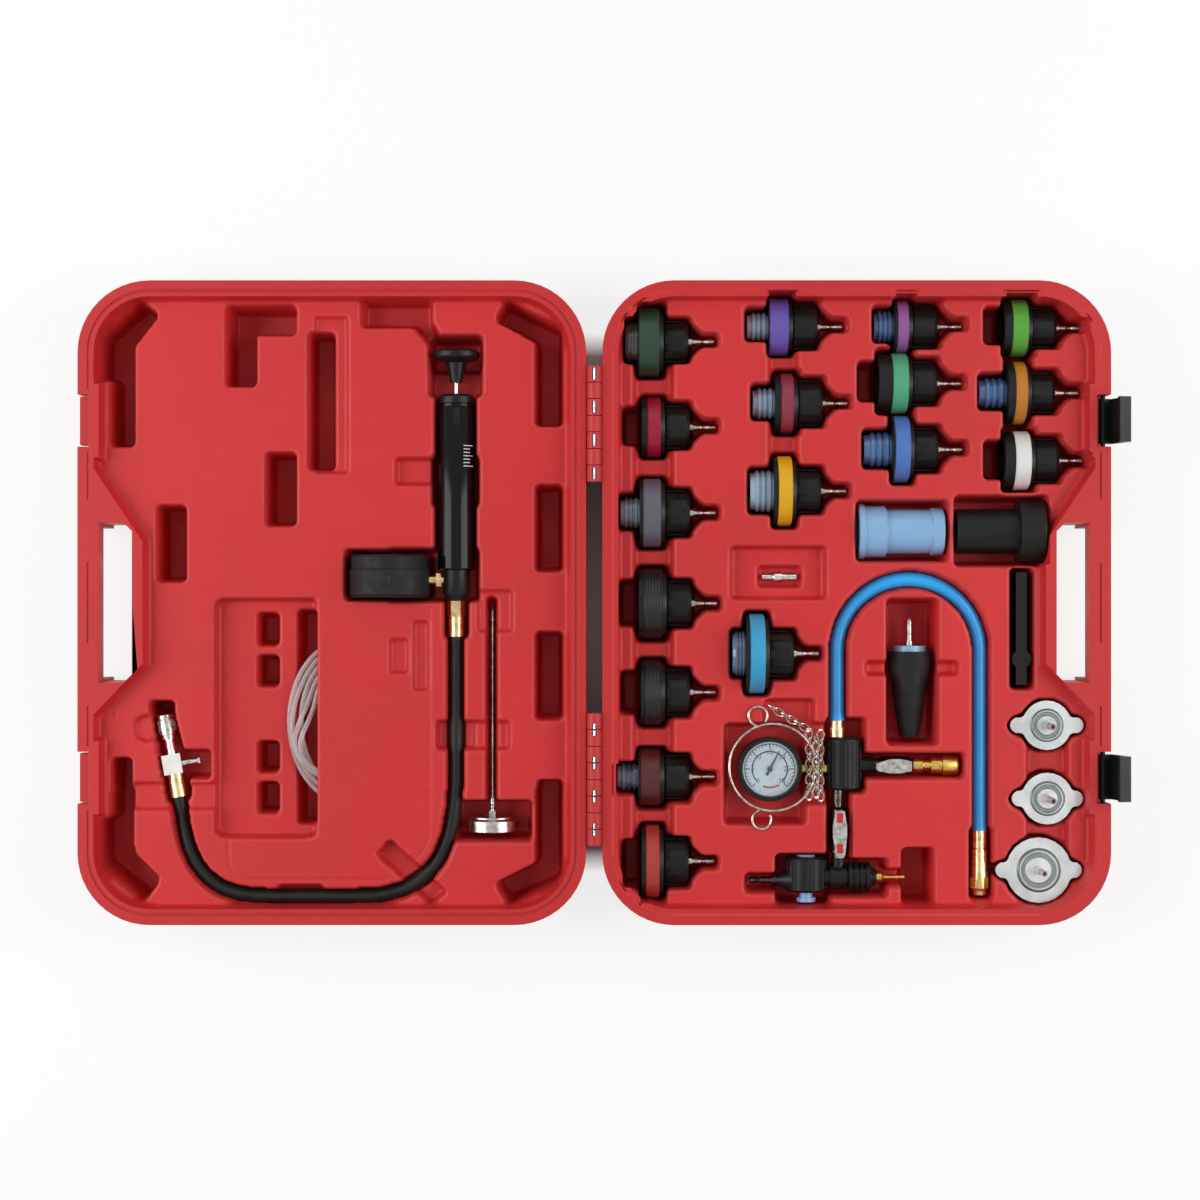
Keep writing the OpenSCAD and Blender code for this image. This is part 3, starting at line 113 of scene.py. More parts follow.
def toned(rgba, share):
    """The same colour, darker or lighter by a share."""
    return tuple(min(1.0, c * share) for c in rgba[:3]) + (1.0,)


class KitSizes(bpy.types.PropertyGroup):
    """Sizes that set how fine and how soft the dressing is."""

    skin_step: bpy.props.FloatProperty(
        name="Moulding step", description="Spacing of the case skin's points",
        default=1.25 * MM, min=0.8 * MM, max=4 * MM, unit="LENGTH", precision=5)
    corner_softness: bpy.props.FloatProperty(
        name="Corner softness", description="Rounding of the pocket corners in plan",
        default=3.2 * MM, min=0.0, max=6 * MM, unit="LENGTH", precision=5)
    edge_softness: bpy.props.FloatProperty(
        name="Edge softness", description="Blur that rounds the pocket edges",
        default=1.15 * MM, min=0.3 * MM, max=3 * MM, unit="LENGTH", precision=5)
    small_edge: bpy.props.FloatProperty(
        name="Small edge", description="Rounding of the edges of the tools",
        default=0.4 * MM, min=0.05 * MM, max=1 * MM, unit="LENGTH", precision=5)
    link_radius: bpy.props.FloatProperty(
        name="Link radius", description="Radius of one chain link",
        default=3.2 * MM, min=2.8 * MM, max=3.4 * MM, unit="LENGTH", precision=5)
    dial_ticks: bpy.props.IntProperty(
        name="Dial ticks", description="Divisions between two numbers of a dial", default=5, min=2, max=10)


class KitColours(bpy.types.PropertyGroup):
    """Colours of the main finishes."""

    case_red: bpy.props.FloatVectorProperty(
        name="Case", description="Colour of the moulded case",
        subtype="COLOR", size=4, min=0, max=1, default=linear((200, 42, 44)))
    black: bpy.props.FloatVectorProperty(
        name="Black parts", description="Colour of the black nylon parts",
        subtype="COLOR", size=4, min=0, max=1, default=linear((20, 21, 20)))
    blue_hose: bpy.props.FloatVectorProperty(
        name="Blue hose", description="Colour of the vacuum hose",
        subtype="COLOR", size=4, min=0, max=1, default=linear((44, 172, 250)))
    pale_blue: bpy.props.FloatVectorProperty(
        name="Pale blue", description="Colour of the plain sleeve and the small knob",
        subtype="COLOR", size=4, min=0, max=1, default=linear((132, 176, 216)))
    floor: bpy.props.FloatVectorProperty(
        name="Floor", description="Colour of the floor",
        subtype="COLOR", size=4, min=0, max=1, default=linear((246, 246, 246)))


# ---------------------------------------------------------------- materials

class Nodes:
    """A material's node tree with short calls to add and link nodes."""

    def __init__(self, name):
        self.material = bpy.data.materials.new(name)
        self.material.use_nodes = True
        self.tree = self.material.node_tree
        self.shader = self.tree.nodes["Principled BSDF"]
        self.place = self.add("ShaderNodeTexCoord").outputs["Object"]

    def add(self, kind, **values):
        """A new node with its settings."""
        node = self.tree.nodes.new(kind)
        for key, value in values.items():
            setattr(node, key, value)
        return node

    def link(self, out, into):
        """Links an output to an input."""
        self.tree.links.new(out, into)

    def noise(self, scale, detail=3.0, roughness=0.55, stretch=None):
        """Noise in the piece's own space, stretched along an axis if asked."""
        node = self.add("ShaderNodeTexNoise")
        node.inputs["Scale"].default_value = scale
        node.inputs["Detail"].default_value = detail
        node.inputs["Roughness"].default_value = roughness
        place = self.place
        if stretch:
            mapping = self.add("ShaderNodeMapping")
            mapping.inputs["Scale"].default_value = stretch
            self.link(place, mapping.inputs["Vector"])
            place = mapping.outputs["Vector"]
        self.link(place, node.inputs["Vector"])
        return node.outputs["Fac"]

    def ramp(self, factor, stops):
        """A colour ramp over (position, colour) stops."""
        node = self.add("ShaderNodeValToRGB")
        node.color_ramp.elements[0].position = stops[0][0]
        node.color_ramp.elements[0].color = stops[0][1]
        node.color_ramp.elements[1].position = stops[-1][0]
        node.color_ramp.elements[1].color = stops[-1][1]
        for position, colour in stops[1:-1]:
            node.color_ramp.elements.new(position).color = colour
        self.link(factor, node.inputs["Fac"])
        return node.outputs["Color"]

    def spread(self, factor, low, high, start=0.3, end=0.7):
        """Maps a factor between start and end to low and high."""
        node = self.add("ShaderNodeMapRange")
        for key, value in (("From Min", start), ("From Max", end), ("To Min", low), ("To Max", high)):
            node.inputs[key].default_value = value
        self.link(factor, node.inputs["Value"])
        return node.outputs["Result"]

    def mix(self, factor, one, other):
        """Two colours mixed by a factor. Each is a socket or a value."""
        node = self.add("ShaderNodeMix", data_type="RGBA")
        for socket, value in ((node.inputs[0], factor), (node.inputs[6], one), (node.inputs[7], other)):
            if isinstance(value, bpy.types.NodeSocket):
                self.link(value, socket)
            else:
                socket.default_value = value
        return node.outputs[2]

    def bump(self, height, distance, strength=1.0, under=None):
        """A bump of a height, over another bump if one is given."""
        node = self.add("ShaderNodeBump")
        node.inputs["Strength"].default_value = strength
        node.inputs["Distance"].default_value = distance
        self.link(height, node.inputs["Height"])
        if under:
            self.link(under, node.inputs["Normal"])
        return node.outputs["Normal"]

    def painted_edge_highlight(self, low=0.5, high=0.56):
        """A mask of the outward edges, where a highlight is painted."""
        shape = self.add("ShaderNodeNewGeometry").outputs["Pointiness"]
        return self.spread(shape, 0.0, 1.0, low, high)

    def set(self, **values):
        """Sets uniform values of the shader. A name has _ for each space."""
        for key, value in values.items():
            self.shader.inputs[key.replace("_", " ")].default_value = value


def moulded(name, colour, roughness=0.42, grain=900.0, depth=0.05, mottle=0.08, patch=9.0, wear=0.25,
            sheen=0.4):
    """Moulded plastic: a fine grain, a faint mottle and small pale scuffs."""
    n = Nodes(name)
    shade = n.ramp(n.noise(patch), [(0.3, toned(colour, 1 - mottle)), (0.7, toned(colour, 1 + mottle))])
    pale = tuple(0.7 * c + 0.12 for c in colour[:3]) + (1.0,)
    scuff = n.spread(n.noise(150.0, 6.0, 0.7), 0.0, wear, 0.6, 0.8)
    n.link(n.mix(scuff, shade, pale), n.shader.inputs["Base Color"])
    n.link(n.spread(n.noise(60.0), roughness - 0.06, roughness + 0.08), n.shader.inputs["Roughness"])
    n.link(n.bump(n.noise(grain, 2.0), depth * MM), n.shader.inputs["Normal"])
    n.set(Specular_IOR_Level=sheen)
    return n.material


def case_plastic(name, colour, edges):
    """Blow-moulded polyethylene: leathery grain, cloudy tone and light scuffs, with highlights painted paler
    along the edges if asked.
    """
    n = Nodes(name)
    tones = [(0.3, toned(colour, 0.93)), (0.55, colour), (0.75, toned(colour, 1.08))]
    cloud = n.ramp(n.noise(5.0, 4.0), tones)
    speck = n.spread(n.noise(1400.0, 1.0), 0.0, 0.1, 0.45, 0.75)
    tone = n.mix(speck, cloud, toned(colour, 1.35))
    scuff = n.spread(n.noise(38.0, 6.0, 0.7, stretch=(1.0, 3.0, 1.0)), 0.0, 0.22, 0.62, 0.78)
    tone = n.mix(scuff, tone, linear((214, 96, 90)))
    # The paler edges are painted highlights on the rounded edges of the pockets.
    if edges:
        tone = n.mix(n.spread(n.painted_edge_highlight(0.505, 0.56), 0.0, 0.22, 0.0, 1.0), tone, linear((222, 104, 98)))
    n.link(tone, n.shader.inputs["Base Color"])
    n.link(n.spread(n.noise(45.0), 0.44, 0.56), n.shader.inputs["Roughness"])
    grain = n.bump(n.noise(520.0, 3.0, 0.6), 0.09 * MM, 0.8)
    n.link(n.bump(n.noise(14.0, 2.0), 0.5 * MM, 0.5, grain), n.shader.inputs["Normal"])
    n.set(Specular_IOR_Level=0.4)
    return n.material


def rubbery(name, colour, roughness=0.62):
    """Matt rubber with a dusty bloom."""
    n = Nodes(name)
    bloom = n.ramp(n.noise(70.0, 5.0), [(0.35, toned(colour, 0.85)), (0.7, toned(colour, 1.35))])
    n.link(bloom, n.shader.inputs["Base Color"])
    n.link(n.spread(n.noise(120.0), roughness - 0.1, roughness + 0.1), n.shader.inputs["Roughness"])
    n.link(n.bump(n.noise(1600.0, 2.0), 0.03 * MM), n.shader.inputs["Normal"])
    n.set(Specular_IOR_Level=0.25)
    return n.material


def plated(name, colour, roughness=0.16, brushed=(1.0, 1.0, 1.0), reflection_dark=0.9, patch=60.0):
    """Turned or plated metal with darker patches painted as reflections of dark surroundings, and fine tool
    lines.
    """
    n = Nodes(name)
    # Darker patches are painted reflections of the dark surroundings.
    tone = n.ramp(n.noise(patch, 4.0), [(0.34, toned(colour, reflection_dark)), (0.6, colour)])
    n.link(tone, n.shader.inputs["Base Color"])
    n.link(n.spread(n.noise(90.0, 4.0), roughness, roughness + 0.14), n.shader.inputs["Roughness"])
    n.link(n.bump(n.noise(700.0, 2.0, stretch=brushed), 0.012 * MM), n.shader.inputs["Normal"])
    n.set(Metallic=1.0)
    return n.material


def clear_plastic(name, colour, roughness, transmission):
    """Clear or milky plastic."""
    n = Nodes(name)
    tone = n.ramp(n.noise(80.0), [(0.3, toned(colour, 0.95)), (0.7, colour)])
    n.link(tone, n.shader.inputs["Base Color"])
    n.link(n.spread(n.noise(50.0), roughness, roughness + 0.06), n.shader.inputs["Roughness"])
    n.set(Transmission_Weight=transmission, IOR=1.38)
    return n.material


def gloss(name, colour, roughness=0.25, coat=0.3, sheen=0.5):
    """Smooth coloured vinyl or glossy plastic."""
    n = Nodes(name)
    tone = n.ramp(n.noise(26.0, 3.0), [(0.3, toned(colour, 0.96)), (0.7, toned(colour, 1.04))])
    n.link(tone, n.shader.inputs["Base Color"])
    n.link(n.spread(n.noise(75.0), roughness, roughness + 0.06), n.shader.inputs["Roughness"])
    n.link(n.bump(n.noise(900.0, 1.0), 0.008 * MM, 0.6), n.shader.inputs["Normal"])
    n.set(Coat_Weight=coat, Coat_Roughness=0.15, Specular_IOR_Level=sheen)
    return n.material


def printed(name, colour):
    """Flat printed paint on a dial."""
    n = Nodes(name)
    tone = n.ramp(n.noise(300.0), [(0.35, toned(colour, 0.9)), (0.65, toned(colour, 1.05))])
    n.link(tone, n.shader.inputs["Base Color"])
    n.link(n.spread(n.noise(150.0), 0.4, 0.5), n.shader.inputs["Roughness"])
    return n.material


FINISH = {}


def make_finishes(colours):
    black = tuple(colours.black)
    FINISH.update({
        "case": case_plastic("case red polyethylene", tuple(colours.case_red), True),
        "case_outside": case_plastic("case red outside", toned(tuple(colours.case_red), 0.9), False),
        "black": moulded("black nylon", black, 0.36, 1100.0, 0.04, 0.14, 30.0, 0.1, 0.22),
        "gloss_black": gloss("gloss black barrel", linear((7, 7, 8)), 0.1, 0.0, 0.2),
        "rubber": rubbery("black rubber", linear((24, 24, 25))),
        "hose_rubber": rubbery("black hose rubber", linear((24, 25, 24)), 0.45),
        "steel": plated("bright steel", linear((202, 199, 194)), 0.2, (1.0, 0.15, 1.0), 0.5, 210.0),
        "block": plated("bright plated block", linear((250, 246, 242)), 0.12, reflection_dark=0.95),
        "chrome": plated("bright chrome", linear((228, 226, 222)), 0.08, reflection_dark=0.5, patch=190.0),
        # Steel painted dark for the shade and the dark reflections on the valve bodies.
        "dark_steel": plated("shaded steel", linear((92, 88, 80)), 0.2, reflection_dark=0.3, patch=240.0),
        "pressed": plated("pressed cap steel", linear((212, 215, 214)), 0.26, reflection_dark=0.78, patch=34.0),
        # Grey painted as the shade of the cap's ring and groove.
        "painted_cap_shade": plated("pressed cap shadow line", linear((128, 136, 138)), 0.34),
        "wire": plated("nickel wire", linear((196, 190, 178)), 0.14, reflection_dark=0.45, patch=260.0),
        "brass": plated("machined brass", linear((222, 184, 102)), 0.2, reflection_dark=0.6, patch=170.0),
        "pale_brass": plated("pale brass", linear((226, 200, 148)), 0.2, reflection_dark=0.62, patch=170.0),
        "tube": clear_plastic("clear vinyl tube", linear((246, 240, 240)), 0.08, 0.72),
        "lens": clear_plastic("clear lens", linear((244, 248, 250)), 0.03, 0.97),
        "blue_hose": gloss("blue vinyl hose", tuple(colours.blue_hose), 0.26, 0.2, 0.4),
        "pale_blue": gloss("pale blue plastic", tuple(colours.pale_blue), 0.3, 0.25),
        "red_paint": printed("red paint", linear((196, 30, 34))),
        "black_print": printed("black print", linear((24, 26, 30))),
        "dial": printed("pale dial", linear((220, 230, 238))),
        "seal": rubbery("seal rubber", linear((44, 45, 47))),
        "slot": printed("slot shadow", linear((64, 8, 12))),
    })


# ---------------------------------------------------------------- mesh helpers

def weld_groups(mesh):
    """The mesh's separate solids, each as a list of its polygon indices."""
    keys = {}
    index = [keys.setdefault(tuple(round(c, 6) for c in v.co), len(keys)) for v in mesh.vertices]
    parent = list(range(len(keys)))

    def root(i):
        while parent[i] != i:
            parent[i] = parent[parent[i]]
            i = parent[i]
        return i

    for poly in mesh.polygons:
        first = root(index[poly.vertices[0]])
        for v in poly.vertices[1:]:
            parent[root(index[v])] = first
    groups = {}
    for poly in mesh.polygons:
        groups.setdefault(root(index[poly.vertices[0]]), []).append(poly.index)
    return list(groups.values())


def reach_of(mesh, polygons):
    """Lowest and highest corner of some polygons."""
    co = np.array([mesh.vertices[v].co for p in polygons for v in mesh.polygons[p].vertices])
    return co.min(0), co.max(0)


def soften(obj, width, angle):
    """Rounds the edges that turn by more than an angle in degrees."""
    bevel = obj.modifiers.new("soft edges", "BEVEL")
    bevel.width = width
    bevel.segments = 2
    bevel.limit_method = "ANGLE"
    bevel.angle_limit = math.radians(angle)
    bevel.harden_normals = True
    bevel.use_clamp_overlap = True


def dress(name, finishes, edge=None, order=None):
    """Gives a CAD node its finishes and soft edges. order picks one finish for each of its solids."""
    obj = NODES[name]
    mesh = obj.data
    mesh.materials.clear()
    for finish in finishes:
        mesh.materials.append(FINISH.get(finish) or bpy.data.materials[finish])
    if order:
        groups = weld_groups(mesh)
        for polygons, pick in zip(groups, order(mesh, groups)):
            for p in polygons:
                mesh.polygons[p].material_index = pick
    if mesh.has_custom_normals:
        mesh.attributes.remove(mesh.attributes["custom_normal"])
    weld = obj.modifiers.new("weld", "WELD")
    weld.merge_threshold = WELD_DISTANCE
    for polygon in mesh.polygons:
        polygon.use_smooth = True
    if edge is None:
        edge = bpy.context.scene.kit_sizes.small_edge
    if edge > 0:
        soften(obj, edge, NODE_EDGE_ANGLE)


def dress_all(rows):
    """Dresses nodes from rows of a node, its finish, and its edge in mm or None for the small edge."""
    for node, finish, edge in rows:
        dress(node, [finish], None if edge is None else edge * MM)


def new_piece(name, mesh, body, finishes, replaces=()):
    """A finished piece that rides on a body."""
    obj = bpy.data.objects.new(name, mesh)
    bpy.context.scene.collection.objects.link(obj)
    for finish in finishes:
        mesh.materials.append(FINISH[finish])
    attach(obj, body)
    if replaces:
        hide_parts(*replaces)
    return obj


def mesh_from(name, build, smooth=True):
    """A mesh filled by a function that draws into a bmesh."""
    bm = bmesh.new()
    build(bm)
    mesh = bpy.data.meshes.new(name)
    bmesh.ops.recalc_face_normals(bm, faces=bm.faces)
    bm.to_mesh(mesh)
    bm.free()
    if smooth:
        mesh.shade_smooth()
        mesh.set_sharp_from_angle(angle=math.radians(DRAWN_EDGE_ANGLE))
    return mesh


def drawn_piece(name, build, body, finishes, replaces=(), smooth=True):
    """A finished piece whose mesh is drawn by a function."""
    new_piece(name, mesh_from(name, build, smooth), body, finishes, replaces)


def surface_of(node):
    """A CAD node's surface, to find heights on it."""
    data = NODES[node].data
    return BVHTree.FromPolygons([v.co for v in data.vertices], [p.vertices for p in data.polygons])


def torus(bm, matrix, major, minor, around, stretch=1.0):
    """A round or oval ring."""
    across = 8
    rows = []
    for i in range(around):
        a = 2 * math.pi * i / around
        row = []
        for j in range(across):
            b = 2 * math.pi * j / across
            r = major + minor * math.cos(b)
            place = Vector((r * math.cos(a) * stretch, r * math.sin(a), minor * math.sin(b)))
            row.append(bm.verts.new(matrix @ place))
        rows.append(row)
    for i in range(around):
        for j in range(across):
            k, l = (i + 1) % around, (j + 1) % across
            bm.faces.new((rows[i][j], rows[k][j], rows[k][l], rows[i][l]))


def turned(bm, matrix, profile, around, material=0):
    """A turned skin along local Z from (height, radius) points."""
    turns = [2 * math.pi * i / around for i in range(around)]
    rings = []
    for z, r in profile:
        places = [(r * math.cos(t), r * math.sin(t), z) for t in turns] if r > 1e-6 else [(0, 0, z)]
        rings.append([bm.verts.new(matrix @ Vector(place)) for place in places])
    for low, high in zip(rings, rings[1:]):
        for i in range(around):
            k = (i + 1) % around
            corners = [low[i % len(low)], low[k % len(low)], high[k % len(high)], high[i % len(high)]]
            unique = list(dict.fromkeys(corners))
            if len(unique) > 2:
                bm.faces.new(unique).material_index = material


def plate(bm, matrix, corners, thick, material=0):
    """A flat plate over a plan outline."""
    low = [bm.verts.new(matrix @ Vector((x, y, 0))) for x, y in corners]
    high = [bm.verts.new(matrix @ Vector((x, y, thick))) for x, y in corners]
    bm.faces.new(low[::-1]).material_index = material
    bm.faces.new(high).material_index = material
    for i in range(len(corners)):
        k = (i + 1) % len(corners)
        bm.faces.new((low[i], low[k], high[k], high[i])).material_index = material


def knurl(bm, aim, teeth, radius, foot, half, height):
    """Straight teeth of 9 mm round a turned grip."""
    for k in range(teeth):
        at = aim @ Matrix.Rotation(2 * math.pi * k / teeth, 4, "Z") @ Matrix.Translation((radius, 0, foot))
        plate(bm, at @ FACING_X, box_corners(-9 * MM, -half, 0, half), height)


def lettered(text, size):
    """A number's outline as a flat mesh, centred on its own middle."""
    curve = bpy.data.curves.new("number", "FONT")
    curve.body = text
    curve.size = size
    curve.align_x = "CENTER"
    curve.align_y = "CENTER"
    holder = bpy.data.objects.new("number", curve)
    mesh = bpy.data.meshes.new_from_object(holder)
    bpy.data.objects.remove(holder)
    bpy.data.curves.remove(curve)
    return mesh


# ---------------------------------------------------------------- the moulded case

def height_map(surface, xs, ys, rim):
    """The height of the case's top surface on a grid, and the rim's height beside the case."""
    out = np.full((len(ys), len(xs)), rim)
    for j, y in enumerate(ys):
        for i, x in enumerate(xs):
            hit = surface.ray_cast(Vector((x, y, rim + RAY_RISE)), DOWN)[0]
            if hit is not None:
                out[j, i] = hit.z
    return np.minimum(out, rim)


def shifted(grid, dj, di):
    """The grid moved by whole cells, with its edge cells repeated."""
    rows = np.clip(np.arange(grid.shape[0]) + dj, 0, grid.shape[0] - 1)
    cols = np.clip(np.arange(grid.shape[1]) + di, 0, grid.shape[1] - 1)
    return grid[np.ix_(rows, cols)]


def neighbours(mask):
    """How many of the nine cells round each cell are marked."""
    return sum(shifted(mask.astype(int), j, i) for j in (-1, 0, 1) for i in (-1, 0, 1))


def round_corners(grid, cells):
    """A disc median, which rounds the corners of each level in plan."""
    reach = int(math.ceil(cells))
    around = [(j, i) for j in range(-reach, reach + 1) for i in range(-reach, reach + 1)
              if j * j + i * i <= cells * cells + 0.3]
    return np.median(np.stack([shifted(grid, j, i) for j, i in around]), axis=0)


def blurred(grid, cells):
    """A Gaussian blur, one axis after the other."""
    reach = int(math.ceil(3 * cells))
    weights = np.exp(-0.5 * (np.arange(-reach, reach + 1) / cells) ** 2)
    weights /= weights.sum()
    rows = sum(w * shifted(grid, k, 0) for w, k in zip(weights, range(-reach, reach + 1)))
    return sum(w * shifted(rows, 0, k) for w, k in zip(weights, range(-reach, reach + 1)))


def inside(loop, x, y):
    """Which points lie inside a closed outline."""
    out = np.zeros(x.shape, bool)
    for (x0, y0), (x1, y1) in zip(loop, np.roll(loop, -1, axis=0)):
        if y0 == y1:
            continue
        crosses = (y0 > y) != (y1 > y)
        out ^= crosses & (x < (x1 - x0) * (y - y0) / (y1 - y0) + x0)
    return out


def nearest_on(loop, px, py):
    """The nearest point of a closed outline."""
    sides = np.roll(loop, -1, axis=0) - loop
    ahead = (px - loop[:, 0]) * sides[:, 0] + (py - loop[:, 1]) * sides[:, 1]
    share = ahead / (sides ** 2).sum(1).clip(1e-18)
    spots = loop + sides * np.clip(share, 0, 1)[:, None]
    away = (spots[:, 0] - px) ** 2 + (spots[:, 1] - py) ** 2
    return spots[away.argmin()]


def rib_line(x, y, points, width):
    """A soft line along a route, 1 on the route and 0 beside it."""
    best = np.full(x.shape, 1e9)
    for (x0, y0), (x1, y1) in zip(points, points[1:]):
        dx, dy = x1 - x0, y1 - y0
        share = np.clip(((x - x0) * dx + (y - y0) * dy) / max(dx * dx + dy * dy, 1e-12), 0, 1)
        best = np.minimum(best, (x - x0 - share * dx) ** 2 + (y - y0 - share * dy) ** 2)
    return np.exp(-best / (2 * width * width))


def rounded_box(half_x, half_y, r):
    """The outline of a box with round corners."""
    steps = 3
    x, y = half_x - r, half_y - r
    out = []
    for cx, cy, a in ((x, y, 0), (-x, y, 90), (-x, -y, 180), (x, -y, 270)):
        for k in range(steps + 1):
            t = math.radians(a + 90 * k / steps)
            out.append((cx + r * math.cos(t), cy + r * math.sin(t)))
    return out


def box_corners(x0, y0, x1, y1):
    """The corners of a box, anticlockwise."""
    return [(x0, y0), (x1, y0), (x1, y1), (x0, y1)]


# Areas of the lid in mm. The skin is set to the height where the last value is True, and else deepened to it.
LID_LEVELS = (
    (box_corners(-278, -243, -235, -228), 50, True),
    (box_corners(-276, -255, -238.5, -240.5), 37, False),
    ([(-181, -202), (-192, -214), (-146, -257), (-133, -246)], 37, False),
    (box_corners(-141, -125, -110, -101), 37, False),
    (box_corners(-110, -125, -79, -101), 42, False),
    (box_corners(-176, 101, -141, 123), 40, False),
    (box_corners(-293, -50, -277.7, -30), 40.5, False),
    (box_corners(-293, -158, -277.7, -138), 40.5, False),
)
# Fine lines pressed into the lid's panel: points, width and lift in mm.
LID_MARKS = (
    ([(-318, -176), (-318, -218), (-316.5, -226), (-312, -232), (-304, -235.5), (-182, -235.5)], 0.8, -0.7),
    ([(-160, -219), (-152, -211), (-148, -202), (-147, -190), (-147, -4)], 0.8, -0.7),
    ([(-250, 4.5), (-222, 4.5)], 0.8, -0.7),
    ([(-390, -238), (-388, -233), (-383, -231), (-377, -232), (-373, -237)], 0.8, -0.6),
    ([(-416, -95.6), (-416, -95.2)], 0.9, -2.0),
)
# Rows of the hinge: start in y in mm, number of knuckles, and whether a slot fills every second knuckle.
HINGE_ROWS = ((102, 7, True), (-205, 8, False))
KNUCKLE = 14 * MM
WHOLE_SLOT_HALF = 5.3 * MM
PART_SLOT_HALF = 2.55 * MM
PART_SLOT_SHIFT = 4.2 * MM
SLOT_HALF_WIDTH = 1.9 * MM
PIN_RADIUS = 1.1 * MM

# How the skin and the shell are found in a CAD half and smoothed. Angles in degrees.
UPWARD = 0.99
SAME_HEIGHT = 1e-5
LEAST_RIM_AREA = 1e-4
SQUARE_MM = 1e6
PANEL_ABOVE_FLOOR = 40 * MM
PANEL_BELOW_RIM = 10 * MM
RAY_RISE = 100 * MM
PANEL_FLATNESS = 0.4 * MM
STILL = 1e-6
JOIN_ANGLE = 0.3
SHELL_SHARP_ANGLE = 28
SHELL_EDGE_ANGLE = 40
SHELL_EDGE = 0.8 * MM


def height_of(face):
    """The height of a face's middle."""
    return face.calc_center_median().z


def flooded(start, walls):
    """The faces that are joined to some faces without crossing the walls."""
    seen, queue = set(start), list(start)
    while queue:
        for edge in queue.pop().edges:
            for face in edge.link_faces:
                if face not in seen and face not in walls:
                    seen.add(face)
                    queue.append(face)
    return seen


def cut_skin(node):
    """A CAD half's outer shell without its pockets, the outline of its opening, and the rim's height."""
    bm = bmesh.new()
    bm.from_mesh(NODES[node].data)
    bmesh.ops.remove_doubles(bm, verts=bm.verts, dist=WELD_DISTANCE)
    bm.normal_update()
    upward = [f for f in bm.faces if f.normal.z > UPWARD]
    rim = max(height_of(f) for f in upward if f.calc_area() > LEAST_RIM_AREA)
    flat = [f for f in upward if abs(height_of(f) - rim) < SAME_HEIGHT]
    shell = flooded(flat[:1], set())
    middle = [f for f in upward if f in shell and PANEL_ABOVE_FLOOR < height_of(f) < rim - PANEL_BELOW_RIM]
    areas = [int(f.calc_area() * SQUARE_MM) + 1 for f in middle]
    panel_z = np.median(np.repeat([height_of(f) for f in middle], areas))
    seed = [f for f in middle if abs(height_of(f) - panel_z) < SAME_HEIGHT][:1]
    pockets = flooded(seed, set(flat))
    bmesh.ops.delete(bm, geom=[f for f in bm.faces if f in pockets or f not in shell], context="FACES")
    border = [e for e in bm.edges if len(e.link_faces) == 1]
    links = {}
    for edge in border:
        one, other = edge.verts
        links.setdefault(one, []).append(other)
        links.setdefault(other, []).append(one)
    first = border[0].verts[0]
    loop, v, before = [], first, None
    while not loop or v is not first:
        loop.append((v.co.x, v.co.y))
        ahead = [w for w in links[v] if w is not before]
        before, v = v, ahead[0]
    return bm, np.array(loop), rim


def pocket_heights(node, xs, ys, within, rim, levels, marks):
    """The skin's heights on a grid: the CAD half's own, set to the levels, softened and marked."""
    sizes = bpy.context.scene.kit_sizes
    gx, gy = np.meshgrid(xs, ys)
    heights = height_map(surface_of(node), xs, ys, rim)
    for points, level, fill in levels:
        area = inside(np.array(points) * MM, gx, gy)
        heights = np.where(area, level * MM if fill else np.minimum(heights, level * MM), heights)
    heights = round_corners(heights, sizes.corner_softness / sizes.skin_step)
    heights = np.where(neighbours(within) == 9, heights, rim)
    panel = np.median(heights)
    heights = blurred(heights, sizes.edge_softness / sizes.skin_step)
    flat = np.abs(heights - panel) < PANEL_FLATNESS
    for points, width, lift in marks:
        line = rib_line(gx, gy, [(x * MM, y * MM) for x, y in points], width * MM)
        heights = heights + np.where(flat, line * lift * MM, 0)
    return heights


def on_outline(gx, gy, border, loop):
    """The grid with its border cells moved to the outline, one of them to each of its corners."""
    px, py = gx.copy(), gy.copy()
    cells = np.argwhere(border)
    places = np.array([nearest_on(loop, gx[j, i], gy[j, i]) for j, i in cells])
    px[border], py[border] = places.T
    for corner in loop:
        j, i = cells[((places - corner) ** 2).sum(1).argmin()]
        px[j, i], py[j, i] = corner
    return px, py


def corners_of(grid):
    """The four corners of each square of a grid."""
    return grid[:-1, :-1], grid[:-1, 1:], grid[1:, 1:], grid[1:, :-1]


def skin_mesh(name, grids, reach, within, calm):
    """A mesh over the squares of a grid that touch the inside, with few faces where it is calm."""
    index = np.full(reach.shape, -1)
    index[reach] = np.arange(reach.sum())
    corners = corners_of(index)
    good = np.logical_or.reduce(corners_of(within)) & (np.minimum.reduce(corners) >= 0)
    points = np.stack([grid[reach] for grid in grids], axis=1)
    faces = np.stack([corner[good] for corner in corners], axis=1)
    skin = bpy.data.meshes.new(name)
    skin.from_pydata(points.tolist(), [], faces.tolist())
    skin.validate()
    bm = bmesh.new()
    bm.from_mesh(skin)
    resting = {v for v, still in zip(bm.verts, calm[reach]) if still}
    edges = [e for e in bm.edges if all(v in resting for v in e.verts)
             and all(v in resting for f in e.link_faces for v in f.verts)]
    verts = list(dict.fromkeys(v for e in edges for v in e.verts))
    bmesh.ops.dissolve_limit(bm, angle_limit=math.radians(JOIN_ANGLE), verts=verts, edges=edges,
                             use_dissolve_boundaries=False)
    for face in bm.faces:
        face.smooth = True
    bm.to_mesh(skin)
    bm.free()
    return skin


def shell_mesh(name, bm):
    """The outer shell's mesh, smooth between its sharp edges."""
    shell = bpy.data.meshes.new(name)
    bm.to_mesh(shell)
    bm.free()
    shell.shade_smooth()
    shell.set_sharp_from_angle(angle=math.radians(SHELL_SHARP_ANGLE))
    if "custom_normal" in shell.attributes:
        shell.attributes.remove(shell.attributes["custom_normal"])
    return shell


